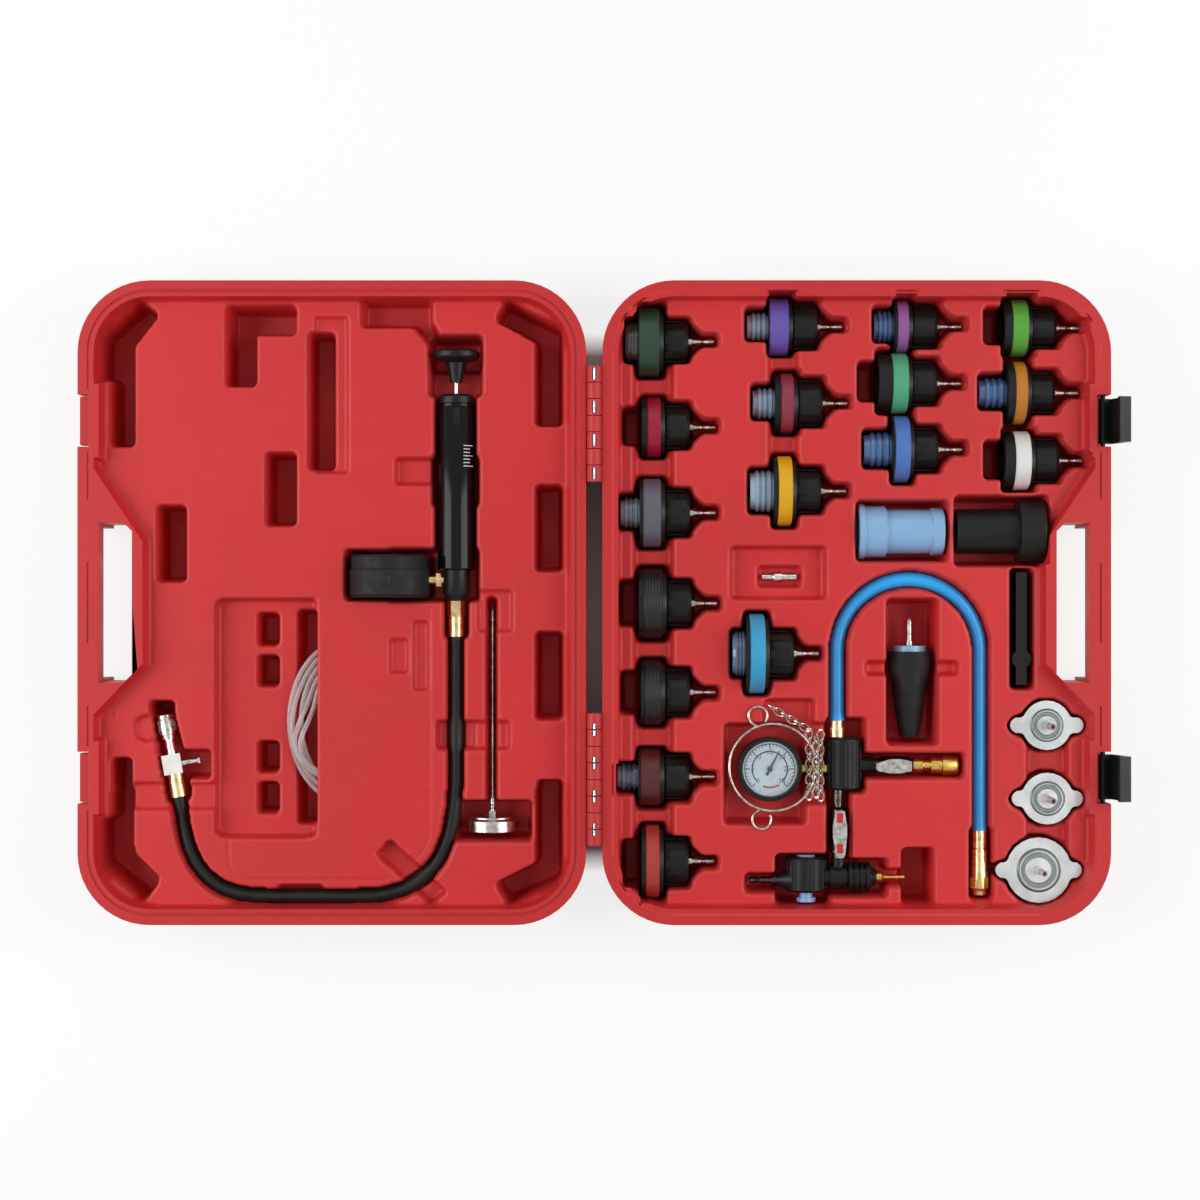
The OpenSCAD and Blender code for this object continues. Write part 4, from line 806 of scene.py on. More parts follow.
def moulded_half(node, body, levels=(), marks=()):
    """One half of the case: the outer shell with a soft, one-piece skin over its pockets."""
    step = bpy.context.scene.kit_sizes.skin_step
    outer, loop, rim = cut_skin(node)
    margin = 6 * step
    xs = np.arange(loop[:, 0].min() - margin, loop[:, 0].max() + margin, step)
    ys = np.arange(loop[:, 1].min() - margin, loop[:, 1].max() + margin, step)
    gx, gy = np.meshgrid(xs, ys)
    within = inside(loop, gx, gy)
    heights = pocket_heights(node, xs, ys, within, rim, levels, marks)
    reach = neighbours(within) > 0
    border = reach & ~within
    px, py = on_outline(gx, gy, border, loop)
    moves = [(j, i) for j in (-2, 0, 2) for i in (-2, 0, 2)]
    change = np.maximum.reduce([np.abs(shifted(heights, j, i) - heights) for j, i in moves])
    grids = (px, py, np.where(border, rim, heights))
    skin = skin_mesh(node + "_pockets", grids, reach, within, (change < STILL) & within)
    shell = shell_mesh(node + "_shell", outer)
    shell_piece = new_piece(node + "_shell", shell, body, ["case_outside"], (node,))
    soften(shell_piece, SHELL_EDGE, SHELL_EDGE_ANGLE)
    new_piece(node + "_pockets", skin, body, ["case"], (node,))


class KIT_OT_case(bpy.types.Operator):
    """Moulds both halves of the case and dresses the pins and the latches"""

    bl_idname = "kit.case"
    bl_label = "Case"

    def execute(self, context):
        moulded_half("case_base", "base")
        moulded_half("case_lid", "lid", LID_LEVELS, LID_MARKS)
        self.pin_slots("case_base", "base")
        self.pin_slots("case_lid", "lid")
        dress_all((("hinge_pins", "steel", 0), ("latch_upper", "black", 0.7), ("latch_lower", "black", 0.7)))
        return {"FINISHED"}

    def pin_slots(self, node, body):
        """The slots in the knuckles of one half, each a thin plate painted dark as the slot's shadow, with
        the bright pin in them.
        """
        low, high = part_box("hinge_pins")
        axis = Vector(((low.x + high.x) / 2, 0, (low.z + high.z) / 2))
        surface = surface_of(node)
        spots = []
        for start, count, whole in HINGE_ROWS:
            for k in range(0, count, 2 if whole else 1):
                y = start * MM + (k + 0.5) * KNUCKLE
                hit = surface.ray_cast(Vector((axis.x, y, axis.z + 50 * MM)), DOWN)[0]
                if hit is not None and hit.z > axis.z + 5 * MM:
                    shift = 0 if whole else PART_SLOT_SHIFT if k % 2 == 0 else -PART_SLOT_SHIFT
                    half = WHOLE_SLOT_HALF if whole else PART_SLOT_HALF
                    spots.append((Vector((axis.x, y + shift, hit.z)), half))

        def build(bm):
            for spot, half in spots:
                seat = Matrix.Translation(spot - Vector((0, 0, 0.12 * MM)))
                plate(bm, seat, rounded_box(SLOT_HALF_WIDTH, half, 1.0 * MM), 0.17 * MM)
                pin = half - 0.4 * MM
                lie = seat @ Matrix.Translation((0, -pin, -0.35 * MM)) @ FACING_Y
                turned(bm, lie, [(0, 0), (0, PIN_RADIUS), (2 * pin, PIN_RADIUS), (2 * pin, 0)], 20, 1)

        drawn_piece(body + "_pin_slots", build, body, ["slot", "steel"])


# ---------------------------------------------------------------- gauges

DIAL_NUMBERS = ("0", "5", "10", "15", "20", "25", "30")
DIAL_SWEEP = (225, -45)


def dial_face(bm, matrix, radius, band=None):
    """A dial: plate, fine and long ticks, arc line, numbers and an optional red band."""
    turned(bm, matrix, [(0, 0), (0, radius), (0.25 * MM, radius), (0.25 * MM, 0)], 72)
    top = matrix @ Matrix.Translation((0, 0, 0.26 * MM))
    start, end = DIAL_SWEEP
    ticks = bpy.context.scene.kit_sizes.dial_ticks
    count = (len(DIAL_NUMBERS) - 1) * ticks
    for k in range(count + 1):
        turn = top @ Matrix.Rotation(math.radians(start + (end - start) * k / count), 4, "Z")
        long = k % ticks == 0
        inner = radius * (0.74 if long else 0.82)
        half = (0.46 if long else 0.26) * MM
        plate(bm, turn, box_corners(inner, -half, radius * 0.9, half), 0.08 * MM, 1)

    def arc(r0, r1, a0, a1, material):
        steps = 40
        turns = [math.radians(a0 + (a1 - a0) * k / steps) for k in range(steps + 1)]
        points = [(r1 * math.cos(t), r1 * math.sin(t)) for t in turns]
        points += [(r0 * math.cos(t), r0 * math.sin(t)) for t in reversed(turns)]
        if a1 < a0:
            points.reverse()
        for k in range(steps):
            plate(bm, top, [points[k], points[k + 1], points[-2 - k], points[-1 - k]], 0.06 * MM, material)

    arc(radius * 0.9, radius * 0.935, start, end, 1)
    if band:
        arc(radius * 0.62, radius * 0.67, start, max(end, band[0]), 1)
        arc(radius * 0.64, radius * 0.71, band[0], band[1], 2)
    for k, text in enumerate(DIAL_NUMBERS):
        a = math.radians(start + (end - start) * k / (len(DIAL_NUMBERS) - 1))
        place = (radius * 0.62 * math.cos(a), radius * 0.62 * math.sin(a), 0.1 * MM)
        mesh = lettered(text, radius * 0.26)
        mesh.transform(top @ Matrix.Translation(place))
        before = len(bm.faces)
        bm.from_mesh(mesh)
        bm.faces.ensure_lookup_table()
        for face in bm.faces[before:]:
            face.material_index = 1
        bpy.data.meshes.remove(mesh)


def dial_piece(name, seat, radius, body, band=None):
    """A dial as a piece behind its gauge's lens."""
    drawn_piece(name, lambda bm: dial_face(bm, seat, radius, band), body,
                ["dial", "black_print", "red_paint"], smooth=False)


# The pump's axis in mm.
PUMP_X, PUMP_Z = -125, 37.5
# The barrel's scale: radius, first row and pitch in mm, steps of a long and a short row, and degrees.
SCALE_RADIUS = 16.04
SCALE_ROWS, SCALE_START, SCALE_PITCH = 7, 116, 2.9
LONG_ROW, SHORT_ROW = 10, 6
SCALE_ANGLE, SCALE_STEP = 26, 4
# Each node's finish and edge in mm. None takes the small edge from the settings.
PUMP_LOOKS = (
    ("pump_barrel", "gloss_black", 0.5),
    ("pump_end_cap", "black", 0.6),
    ("pump_valve_block", "black", 0.6),
    ("pump_handle", "black", 0.6),
    ("pump_rod", "chrome", 0.1),
    ("pump_piston", "rubber", 0),
    ("gauge_boot", "rubber", 0.9),
    ("gauge_lens", "lens", 0.15),
    ("gauge_needle", "red_paint", 0.05),
    ("pump_brass", "pale_brass", 0.3),
    ("tee_block", "block", 0.6),
    ("relief_pin", "chrome", None),
    ("quick_coupler", "steel", 0.3),
)


class KIT_OT_pump(bpy.types.Operator):
    """Dresses the pressure pump, its gauge, its hose and its coupler"""

    bl_idname = "kit.pump"
    bl_label = "Pressure pump"

    def execute(self, context):
        dress_all(PUMP_LOOKS)
        self.gauge()
        curve_piece("pump_hose_tube", BLACK_HOSE, 6.0 * MM, body="pump", finish="hose_rubber",
                    node="pump_hose",
                    neck=(20, 16, 0.26))
        self.coupler_rings()
        self.barrel_scale()
        return {"FINISHED"}

    def barrel_scale(self):
        """Pale ticks printed across the side of the barrel."""
        axis_x, axis_z, radius = PUMP_X * MM, PUMP_Z * MM, SCALE_RADIUS * MM

        def build(bm):
            for k in range(SCALE_ROWS):
                y = (SCALE_START + SCALE_PITCH * k) * MM
                for step in range(LONG_ROW if k % 3 == 0 else SHORT_ROW):
                    turns = [math.radians(SCALE_ANGLE + SCALE_STEP * (step + side)) for side in (0, 1)]
                    spots = [(axis_x + radius * math.sin(t), axis_z + radius * math.cos(t)) for t in turns]
                    corners = [bm.verts.new((x, y + side, z)) for side in (0, 0.7 * MM) for x, z in spots]
                    bm.faces.new((corners[0], corners[1], corners[3], corners[2]))

        drawn_piece("barrel_scale", build, "pump", ["dial"])

    def gauge(self):
        """The dial of the booted gauge."""
        low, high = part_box("gauge_lens")
        centre = (low + high) / 2
        seat = Matrix.Translation((centre.x, low.y - 5.0 * MM, centre.z)) @ FACING_Y
        dial_piece("pressure_dial", seat, (high.x - low.x) / 2 - 1.2 * MM, "pump")

    def coupler_rings(self):
        """The knurl round the sleeve of the quick coupler."""
        low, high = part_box("quick_coupler")
        aim = Matrix.Translation((low + high) / 2) @ Matrix.Rotation(TEE_TURN, 4, "Z") @ FACING_Y

        def build(bm):
            knurl(bm, aim, teeth=26, radius=7.15 * MM, foot=-3.5 * MM, half=0.35 * MM, height=0.25 * MM)

        drawn_piece("coupler_knurl", build, "coupler_sleeve", ["steel"])


# ---------------------------------------------------------------- hoses and tube

# The tee's place in mm and its turn.
TEE_X, TEE_Y = -362, -166
TEE_TURN = math.radians(10)


def tee_point(u, v):
    """A point beside the tee, which lies turned."""
    return (TEE_X + u * math.cos(TEE_TURN) - v * math.sin(TEE_TURN),
            TEE_Y + u * math.sin(TEE_TURN) + v * math.cos(TEE_TURN))


BLACK_HOSE = [(x * MM, y * MM, PUMP_Z * MM) for x, y in [
    (PUMP_X, -29), (PUMP_X, -60), (PUMP_X, -95), (PUMP_X, -126), (PUMP_X, -152), (-127, -176), (-131, -198),
    (-139, -218), (-151, -233), (-168, -244), (-189, -250), (-213, -251), (-249, -251), (-285, -251),
    (-309, -249), (-326, -243), (-339, -233), (-348, -221), (-354, -207), (-358, -191),
    tee_point(0, -9), tee_point(0, 0)]]

# The blue hose arches from the manifold to its coupler. Sizes in mm.
HOSE_Z = 35.65
ARCH_X, ARCH_Y, ARCH_RADIUS = 262, -41, 61
ARCH = [(ARCH_X - ARCH_RADIUS * math.cos(math.radians(t)), ARCH_Y + ARCH_RADIUS * math.sin(math.radians(t)))
        for t in range(0, 181, 10)]
BLUE_HOSE = [(x * MM, y * MM, HOSE_Z * MM) for x, y in
             [(ARCH_X - ARCH_RADIUS, -101 + 12 * k) for k in range(5)] + ARCH
             + [(ARCH_X + ARCH_RADIUS, ARCH_Y - 14 * k) for k in range(1, 12)]]

# The coil of clear tube: its middle, its outer reach and what each loop bulges. Sizes in mm.
TUBE_LOOPS = 5
TURN_POINTS = 24
TUBE_WIDTH = 4.2
COIL_X, COIL_Y, COIL_Z = -219, -102.5, 38.4
COIL_REACH_X, COIL_REACH_Y = 50, 70
LOOP_PITCH = 5
LOOP_BULGES = (0, 0.25, 0, 1.1, 1.3)


def tube_point(i):
    """A point of the clear coil. Its inner loops bulge over the outer ones where the tray is open."""
    loop, turn = divmod(i / TURN_POINTS, 1)
    bulge = 0.0
    if 0.1 < turn < 0.45:
        bulge = max(0.0, math.cos(math.pi * (turn - 0.27 - 0.02 * loop) / 0.3))
    bulge = bulge * bulge * LOOP_BULGES[min(int(loop), 4)]
    inward = LOOP_PITCH * i / TURN_POINTS
    a = math.radians(90 + 15 * i)
    x = COIL_X + (COIL_REACH_X - (inward - 12.5 * bulge)) * math.cos(a)
    y = COIL_Y + (COIL_REACH_Y - inward + 3 * bulge) * math.sin(a)
    z = COIL_Z + 4.3 * min(1.0, 1.6 * bulge)
    return (x * MM, y * MM, z * MM)


TUBE_START = ((COIL_X + TUBE_WIDTH) * MM, (COIL_Y + COIL_REACH_Y) * MM, COIL_Z * MM)
TUBE_END_Y = COIL_Y + COIL_REACH_Y - TUBE_LOOPS * LOOP_PITCH - 0.6
TUBE_END = ((COIL_X - TUBE_WIDTH) * MM, TUBE_END_Y * MM, COIL_Z * MM)
CLEAR_TUBE = [TUBE_START] + [tube_point(i) for i in range(TURN_POINTS * TUBE_LOOPS + 1)] + [TUBE_END]


def curve_piece(name, route, radius, body, finish, node,
                neck=None):
    """A hose as one smooth tube along its route.

    neck has the distance from the far end and the spread of a narrower stretch in mm, and its depth."""
    curve = bpy.data.curves.new(name, "CURVE")
    curve.dimensions = "3D"
    curve.bevel_depth = radius
    curve.bevel_resolution = 6
    curve.use_fill_caps = True
    curve.resolution_u = 4
    curve.materials.append(FINISH[finish])
    spline = curve.splines.new("POLY")
    spline.use_smooth = True
    fine = smooth_route(route)
    spline.points.add(len(fine) - 1)
    length = sum((Vector(a) - Vector(b)).length for a, b in zip(fine, fine[1:]))
    left = length
    for k, (point, place) in enumerate(zip(spline.points, fine)):
        point.co = (*place, 1)
        left -= (Vector(place) - Vector(fine[k - 1])).length if k else 0
        if neck:
            point.radius = 1 - neck[2] * math.exp(-((left / MM - neck[0]) / neck[1]) ** 2)
    obj = bpy.data.objects.new(name, curve)
    bpy.context.scene.collection.objects.link(obj)
    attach(obj, body)
    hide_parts(node)


def smooth_route(route):
    """A Catmull-Rom line through the route's points."""
    steps = 3
    p = [Vector(route[0])] + [Vector(x) for x in route] + [Vector(route[-1])]
    out = []
    for a, b, c, d in zip(p, p[1:], p[2:], p[3:]):
        for k in range(steps):
            t = k / steps
            out.append(0.5 * ((2 * b) + (c - a) * t + (2 * a - 5 * b + 4 * c - d) * t * t
                              + (3 * b - 3 * c + d - a) * t * t * t))
    out.append(p[-1])
    return [tuple(v) for v in out]


# The rings of the thermometer's stem, in mm from its lower end.
THERMOMETER_RINGS = (20.0, 23.0, 182.0)


class KIT_OT_lid_tools(bpy.types.Operator):
    """Dresses the thermometer and winds the clear tube"""

    bl_idname = "kit.lid_tools"
    bl_label = "Thermometer and clear tube"

    def execute(self, context):
        dress("thermometer", ["steel"])
        low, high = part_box("thermometer")
        centre_x, centre_z = (low.x + high.x) / 2, (low.z + high.z) / 2
        aim = Matrix.Translation((centre_x, low.y, centre_z)) @ FACING_Y

        def rings(bm):
            for z in THERMOMETER_RINGS:
                torus(bm, aim @ Matrix.Translation((0, 0, z * MM)), 2.2 * MM, 0.6 * MM, 24)

        drawn_piece("thermometer_rings", rings, "thermometer_body", ["chrome"])
        curve_piece("clear_tube_coil", CLEAR_TUBE, TUBE_WIDTH / 2 * MM, body="lid", finish="tube",
                    node="clear_tube")
        return {"FINISHED"}


# ---------------------------------------------------------------- loose pieces of the base

# The radius of each cap's plate in mm.
CAP_RADIUS = {"cap_small": 21.1, "cap_medium": 22, "cap_large": 27.9}
# The pressed ring and groove of a cap, a raised ring and a flat band painted grey as their shade: height in
# mm and share of the radius.
CAP_SHADE_RING = ((0.02, 0.68), (0.1, 0.67), (1.65, 0.625), (1.68, 0.585), (1.5, 0.59))
CAP_GROOVE_SHADE = ((0.02, 0.52), (0.08, 0.52), (0.08, 0.42), (0.02, 0.42))
# The nipple's bore is a dark disc painted as the shade in its hole.
BORE_SHADE_RADIUS = 1.7 * MM
BORE_SHADE_DEPTH = 0.36 * MM
CUP_RIBS = 6


def along(axis):
    """Sorts a node's solids by their middle along an axis."""
    def order(mesh, groups):
        middles = [(low[axis] + high[axis]) / 2 for low, high in (reach_of(mesh, g) for g in groups)]
        ranks = sorted(range(len(groups)), key=lambda k: middles[k])
        return [ranks.index(k) for k in range(len(groups))]
    return order


def adapter_order(mesh, groups):
    """0 for the black body, 1 for the ring, 2 for the nipple and 3 for the insert."""
    reach = [reach_of(mesh, g) for g in groups]
    picks = [0] * len(groups)
    rest = list(range(len(groups)))
    nipple = max(rest, key=lambda k: reach[k][1][0])
    picks[nipple] = 2
    rest.remove(nipple)
    if len(groups) > 3:
        insert = min(rest, key=lambda k: reach[k][0][0])
        picks[insert] = 3
        rest.remove(insert)
    ring = min(rest, key=lambda k: reach[k][1][0] - reach[k][0][0])
    picks[ring] = 1
    return picks


class KIT_OT_adapters(bpy.types.Operator):
    """Dresses the filler neck adapters with their coloured rings"""

    bl_idname = "kit.adapters"
    bl_label = "Adapters"

    def execute(self, context):
        for node, (ring, insert) in RING_COLOURS.items():
            plain = node.removeprefix("adapter_").replace("_", " ")
            moulded(plain + " ring", linear(ring), 0.38, 900.0, 0.03, 0.07, 24.0, 0.2)
            finishes = ["black", plain + " ring", "steel"]
            if insert:
                gloss(plain + " insert", linear(insert), 0.2, 0.35, 0.6)
                finishes.append(plain + " insert")
            dress(node, finishes, 0.45 * MM, adapter_order)
        for node in ("adapter_ribbed_upper", "adapter_ribbed_lower"):
            self.ribs(node)
        return {"FINISHED"}

    def ribs(self, node):
        """The close ribs round the cup of an adapter."""
        mesh = NODES[node].data
        groups = weld_groups(mesh)
        low, high = reach_of(mesh, groups[adapter_order(mesh, groups).index(1)])
        centre, radius = (low + high) / 2, (high[2] - low[2]) / 2

        def build(bm):
            for k in range(CUP_RIBS):
                x = low[0] + (k + 0.7) * (high[0] - low[0]) / (CUP_RIBS + 0.4)
                at = Matrix.Translation((x, centre[1], centre[2])) @ FACING_X
                torus(bm, at, radius - 0.35 * MM, 0.62 * MM, 72)

        drawn_piece(node + "_ribs", build, node + "_piece", ["black"])


class KIT_OT_loose_pieces(bpy.types.Operator):
    """Dresses the sleeves, the cone, the fitting, the spanner and the radiator caps"""

    bl_idname = "kit.loose_pieces"
    bl_label = "Sleeves, cone, spanner and caps"

    def execute(self, context):
        dress_all((("sleeve_blue", "pale_blue", 0.5), ("sleeve_black", "black", 0.5),
                   ("spare_fitting", "chrome", 0.3), ("spanner", "black", 0.5)))
        dress("cone_plug", ["rubber", "pale_blue", "steel"], None, along(1))
        for node in CAP_RADIUS:
            dress(node, ["seal", "pressed"], 0.3 * MM, along(2))
            self.cap_lines(node)
        return {"FINISHED"}

    def cap_lines(self, node):
        """The pressed rings of a cap painted grey as their shade, and a dark disc painted as the shade in its
        nipple's bore.
        """
        low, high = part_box(node)
        radius = CAP_RADIUS[node] * MM
        centre = Vector(((low.x + high.x) / 2, (low.y + high.y) / 2, 0))
        above = centre + Vector((0.8 * radius, 0, RAY_RISE))
        plate_z = surface_of(node).ray_cast(above, DOWN)[0].z

        def build(bm):
            at = Matrix.Translation((centre.x, centre.y, plate_z))
            for profile in (CAP_SHADE_RING, CAP_GROOVE_SHADE):
                turned(bm, at, [(z * MM, r * radius) for z, r in profile], 72)
            # A dark disc painted as the shade inside the bore.
            bore = Matrix.Translation((centre.x, centre.y, high.z - 0.3 * MM))
            turned(bm, bore, [(0, 0), (0, BORE_SHADE_RADIUS), (BORE_SHADE_DEPTH, BORE_SHADE_RADIUS), (BORE_SHADE_DEPTH, 0)], 24, 1)

        drawn_piece(node + "_lines", build, node + "_piece", ["painted_cap_shade", "seal"])


# ---------------------------------------------------------------- vacuum filling tool

VACUUM_LOOKS = (
    ("vacuum_gauge_case", "black", None),
    ("vacuum_gauge_lens", "lens", 0.15),
    ("vacuum_gauge_needle", "black_print", 0.05),
    ("manifold_body", "black", None),
    ("venturi_body", "black", None),
    # The valve bodies are steel painted dark for their shade and dark reflections.
    ("valve_bodies", "dark_steel", 0.3),
    ("venturi_knob", "pale_blue", 0.5),
    ("vacuum_brass", "brass", 0.3),
    ("hook_ring", "wire", 0),
    ("blue_hose_fittings", "pale_brass", 0.3),
    ("valve_lever_upper", "steel", 0.3),
    ("valve_lever_lower", "steel", 0.3),
)
# The pale cap of the venturi body: its place, and its profile as height and radius, in mm.
VENTURI_X, VENTURI_Y = 174.5, -217
VENTURI_CAP = ((0, 0), (0, 8), (1.2, 8), (1.6, 7.4), (1.6, 0))
LEVER_X = 202
# The heights of the chain's lower and upper strands in mm.
CHAIN_LOW = HOSE_Z + 8.4
CHAIN_HIGH = 56.9
# Each strand's start in x and y, its height, its heading in degrees, its number of links and its rise a link.
CHAIN_STRANDS = (
    (176.3, -164, CHAIN_LOW, 90, 9, 0),
    (186.3, -165, CHAIN_LOW, 90, 9, 0),
    (181.3, -161, CHAIN_HIGH, 90, 8, 0),
    (172.5, -106.5, CHAIN_LOW + 1, 149, 6, 0.9),
)
LINK_TILTS = (24, 106)


class KIT_OT_vacuum_tool(bpy.types.Operator):
    """Dresses the vacuum tool and adds its dial, hose, chain and hook"""

    bl_idname = "kit.vacuum_tool"
    bl_label = "Vacuum filling tool"

    def execute(self, context):
        dress_all(VACUUM_LOOKS)
        self.dial()
        self.levers()
        self.chain(context.scene.kit_sizes.link_radius)
        self.hose_end()
        curve_piece("blue_hose_tube", BLUE_HOSE, 6.35 * MM, body="vacuum_tool", finish="blue_hose",
                    node="blue_hose")
        return {"FINISHED"}

    def hose_end(self):
        """The knurl of the coupler at the hose's end, and the pale cap of the venturi body."""
        low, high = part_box("blue_hose_fittings")
        axis_x = (ARCH_X + ARCH_RADIUS) * MM
        radius = high.x - axis_x
        aim = Matrix.Translation((axis_x, low.y + 6 * MM, HOSE_Z * MM)) @ FACING_Y
        seat = Matrix.Translation((VENTURI_X * MM, VENTURI_Y * MM, HOSE_Z * MM)) @ FACING_Y

        def teeth(bm):
            knurl(bm, aim, teeth=24, radius=radius - 0.05 * MM, foot=0, half=0.4 * MM, height=0.35 * MM)

        def cap(bm):
            turned(bm, seat, [(z * MM, r * MM) for z, r in VENTURI_CAP], 40)

        drawn_piece("hose_end_knurl", teeth, "vacuum_tool", ["brass"])
        drawn_piece("venturi_cap", cap, "vacuum_tool", ["pale_blue"])

    def dial(self):
        """The dial of the vacuum gauge, with its red band."""
        low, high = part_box("vacuum_gauge_lens")
        centre = (low + high) / 2
        case_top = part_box("vacuum_gauge_case")[1].z
        seat = Matrix.Translation((centre.x, centre.y, case_top - 5.5 * MM))
        dial_piece("vacuum_dial", seat, (high.x - low.x) / 2 - 0.6 * MM, "vacuum_tool", (-60, -112))

    def levers(self):
        """The red marks on the grip of the lower lever."""
        low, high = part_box("valve_lever_lower")
        top = low.z + 2.0 * MM
        corners = box_corners(-4 * MM, -2.6 * MM, 4 * MM, 2.6 * MM)
        for name, y in (("lever_grip_low", low.y + 8 * MM), ("lever_grip_high", high.y - 6 * MM)):
            at = Matrix.Translation((LEVER_X * MM, y, top)) @ Matrix.Rotation(math.pi / 2, 4, "Z")

            def build(bm):
                plate(bm, at, corners, 0.5 * MM)

            drawn_piece(name, build, "lower_lever", ["red_paint"])

    def chain(self, link_r):
        """The chain's links, each turned against the one before it."""
        wire = 0.8 * MM
        oval = 1.42
        step = 2 * link_r * oval - 2 * wire - 1.0 * MM

        def build(bm):
            for x, y, z, heading, count, rise in CHAIN_STRANDS:
                start = Matrix.Translation((x * MM, y * MM, z * MM))
                start = start @ Matrix.Rotation(math.radians(heading), 4, "Z")
                for k in range(count):
                    tilt = Matrix.Rotation(math.radians(LINK_TILTS[k % 2]), 4, "X")
                    at = start @ Matrix.Translation((k * step, 0, k * rise * MM)) @ tilt
                    torus(bm, at, link_r, wire, 20, oval)

        drawn_piece("chain_links", build, "vacuum_tool", ["wire"], ("chain",))


# ---------------------------------------------------------------- stage

# The floor between the two halves of the case, as half its width and half its length.
GAP_HALVES = (("X", 0.03), ("Y", 0.215))


def maths(tree, operation, *values):
    """A maths node's result. Each value is a socket or a number."""
    node = tree.nodes.new("ShaderNodeMath")
    node.operation = operation
    for socket, value in zip(node.inputs, values):
        if isinstance(value, bpy.types.NodeSocket):
            tree.links.new(value, socket)
        else:
            socket.default_value = value
    return node.outputs[0]


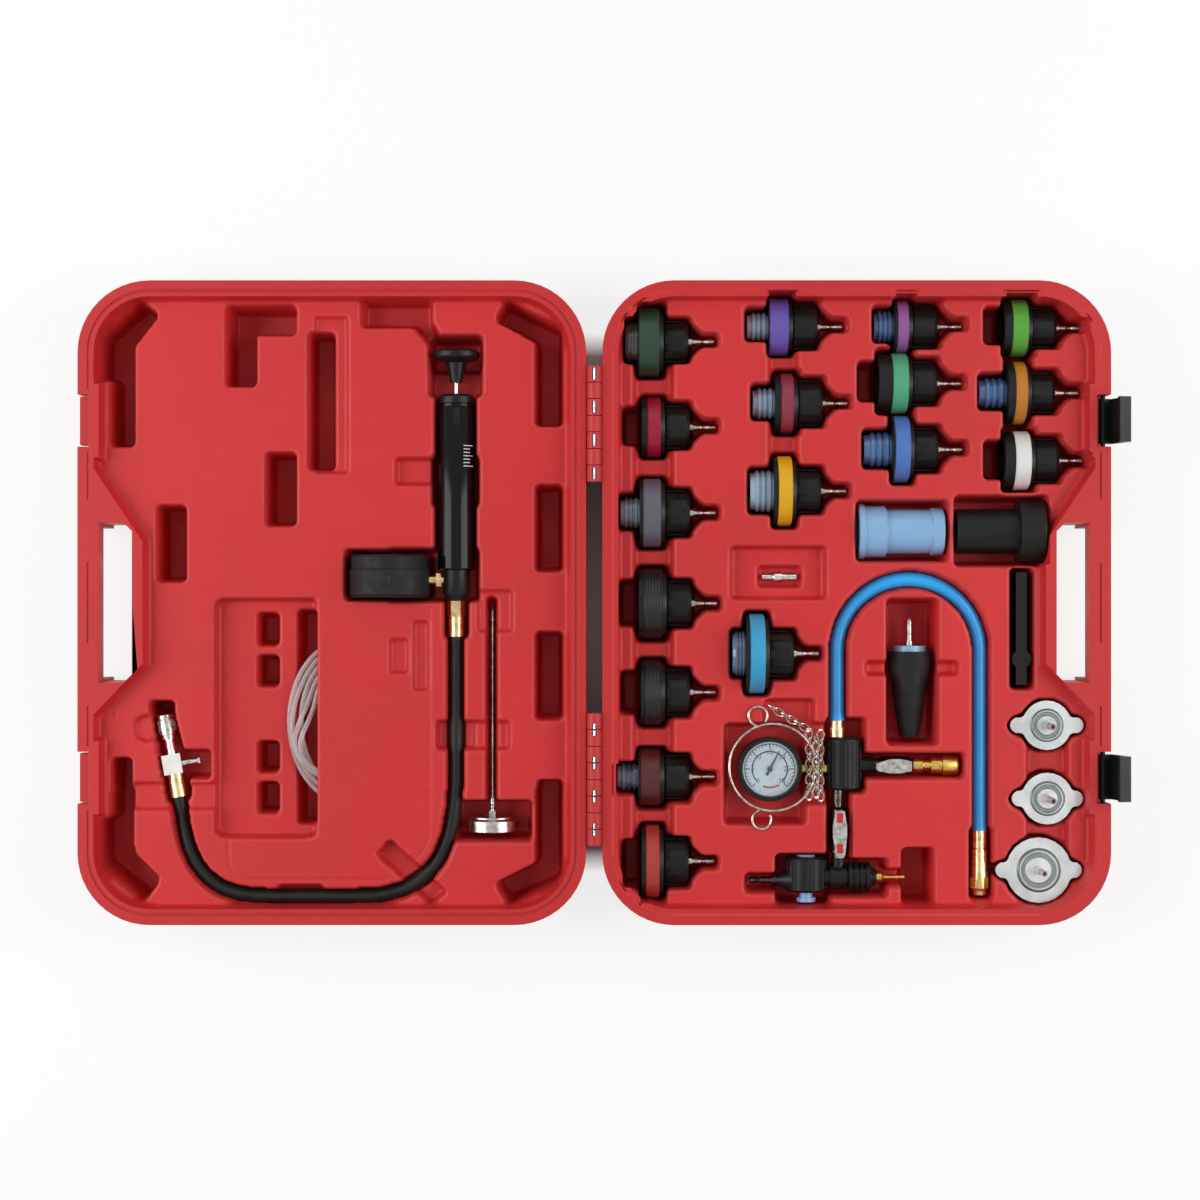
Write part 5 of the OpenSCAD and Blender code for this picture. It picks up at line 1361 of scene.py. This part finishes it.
class KIT_OT_stage(bpy.types.Operator):
    """Sets the pale floor, the soft lamps and the camera straight above"""

    bl_idname = "kit.stage"
    bl_label = "Stage"

    def execute(self, context):
        self.lay_floor(context.scene)
        self.light_world(context.scene)
        for name, place, size, power in LAMPS:
            self.lamp(name, place, size, power)
        camera_data = bpy.data.cameras.new("camera")
        camera_data.sensor_width = SENSOR_MM
        camera_data.lens = SENSOR_MM * VIEW_MM / FIELD_MM
        camera = bpy.data.objects.new("camera", camera_data)
        context.scene.collection.objects.link(camera)
        camera.location = CAMERA_AT
        context.scene.camera = camera
        context.scene.view_settings.view_transform = "Standard"
        return {"FINISHED"}

    def lay_floor(self, scene):
        """A pale floor just under the case."""
        seat = Matrix.Translation((0, 0, -2 * MM))
        corners = box_corners(-FLOOR_HALF, -FLOOR_HALF, FLOOR_HALF, FLOOR_HALF)
        mesh = mesh_from("floor", lambda bm: plate(bm, seat, corners, 1.9 * MM), False)
        floor = bpy.data.objects.new("floor", mesh)
        scene.collection.objects.link(floor)
        n = Nodes("pale floor")
        colour = tuple(scene.kit_colours.floor)
        tone = n.ramp(n.noise(3.0), [(0.3, toned(colour, 0.99)), (0.7, colour)])
        n.link(tone, n.shader.inputs["Base Color"])
        n.set(Roughness=0.8)
        surface = n.tree.nodes["Material Output"].inputs["Surface"]
        self.seen_white(n.tree, n.shader.outputs["BSDF"], surface, FLOOR_WHITE, self.beside_the_gap(n))
        mesh.materials.append(n.material)

    def light_world(self, scene):
        """Soft white light from all round."""
        world = bpy.data.worlds.new("studio")
        world.use_nodes = True
        tree = world.node_tree
        background = tree.nodes["Background"]
        background.inputs["Color"].default_value = (1, 1, 1, 1)
        background.inputs["Strength"].default_value = WORLD_STRENGTH
        surface = tree.nodes["World Output"].inputs["Surface"]
        self.seen_white(tree, background.outputs["Background"], surface, 1.0)
        scene.world = world

    def beside_the_gap(self, n):
        """0 on the floor between the two halves of the case, 1 on the open floor."""
        split = n.add("ShaderNodeSeparateXYZ")
        n.link(n.place, split.inputs[0])
        away = [maths(n.tree, "SUBTRACT", maths(n.tree, "ABSOLUTE", split.outputs[axis]), half)
                for axis, half in GAP_HALVES]
        return n.spread(maths(n.tree, "MAXIMUM", *away), 0.0, 1.0, 0.0, 0.02)

    def seen_white(self, tree, shader, into, share, place=None):
        """Mixes in plain white for rays that come from the camera, a mirror or glass."""
        path = tree.nodes.new("ShaderNodeLightPath")
        white = tree.nodes.new("ShaderNodeEmission" if share < 1 else "ShaderNodeBackground")
        mix = tree.nodes.new("ShaderNodeMixShader")
        total = path.outputs["Is Camera Ray"]
        for name in ("Is Glossy Ray", "Is Transmission Ray"):
            total = maths(tree, "MAXIMUM", total, path.outputs[name])
        if place:
            total = maths(tree, "MULTIPLY", total, place)
        tree.links.new(maths(tree, "MULTIPLY", total, share), mix.inputs[0])
        tree.links.new(shader, mix.inputs[1])
        tree.links.new(white.outputs[0], mix.inputs[2])
        tree.links.new(mix.outputs[0], into)

    def lamp(self, name, place, size, power):
        """A soft rectangular lamp that faces the middle of the floor."""
        data = bpy.data.lights.new(name, "AREA")
        data.energy = power
        data.shape = "RECTANGLE"
        data.size, data.size_y = size
        lamp = bpy.data.objects.new(name, data)
        bpy.context.scene.collection.objects.link(lamp)
        lamp.location = place
        lamp.rotation_mode = "QUATERNION"
        lamp.rotation_quaternion = (-Vector(place)).to_track_quat("-Z", "Y")


class KIT_PT_panel(bpy.types.Panel):
    bl_idname = "KIT_PT_panel"
    bl_label = "Tester Kit"
    bl_space_type = "VIEW_3D"
    bl_region_type = "UI"
    bl_category = "Tester Kit"

    def draw(self, context):
        for operator in OPERATORS:
            self.layout.operator(operator.bl_idname)
        for settings in (context.scene.kit_sizes, context.scene.kit_colours):
            for name in settings.__annotations__:
                self.layout.prop(settings, name)


OPERATORS = (KIT_OT_case, KIT_OT_pump, KIT_OT_lid_tools, KIT_OT_adapters, KIT_OT_loose_pieces,
             KIT_OT_vacuum_tool, KIT_OT_stage)
CLASSES = (KitSizes, KitColours, *OPERATORS, KIT_PT_panel)


def register():
    """Makes the classes known to Blender and adds the settings to the scene."""
    for cls in CLASSES:
        bpy.utils.register_class(cls)
    bpy.types.Scene.kit_sizes = bpy.props.PointerProperty(type=KitSizes)
    bpy.types.Scene.kit_colours = bpy.props.PointerProperty(type=KitColours)


def unregister():
    """Takes the settings and the classes away again."""
    del bpy.types.Scene.kit_colours
    del bpy.types.Scene.kit_sizes
    for cls in reversed(CLASSES):
        bpy.utils.unregister_class(cls)


def main():
    """Builds the whole kit and its stage."""
    register()
    make_finishes(bpy.context.scene.kit_colours)
    bpy.ops.kit.case()
    bpy.ops.kit.pump()
    bpy.ops.kit.lid_tools()
    bpy.ops.kit.adapters()
    bpy.ops.kit.loose_pieces()
    bpy.ops.kit.vacuum_tool()
    bpy.ops.kit.stage()


if __name__ == "__main__":
    main()
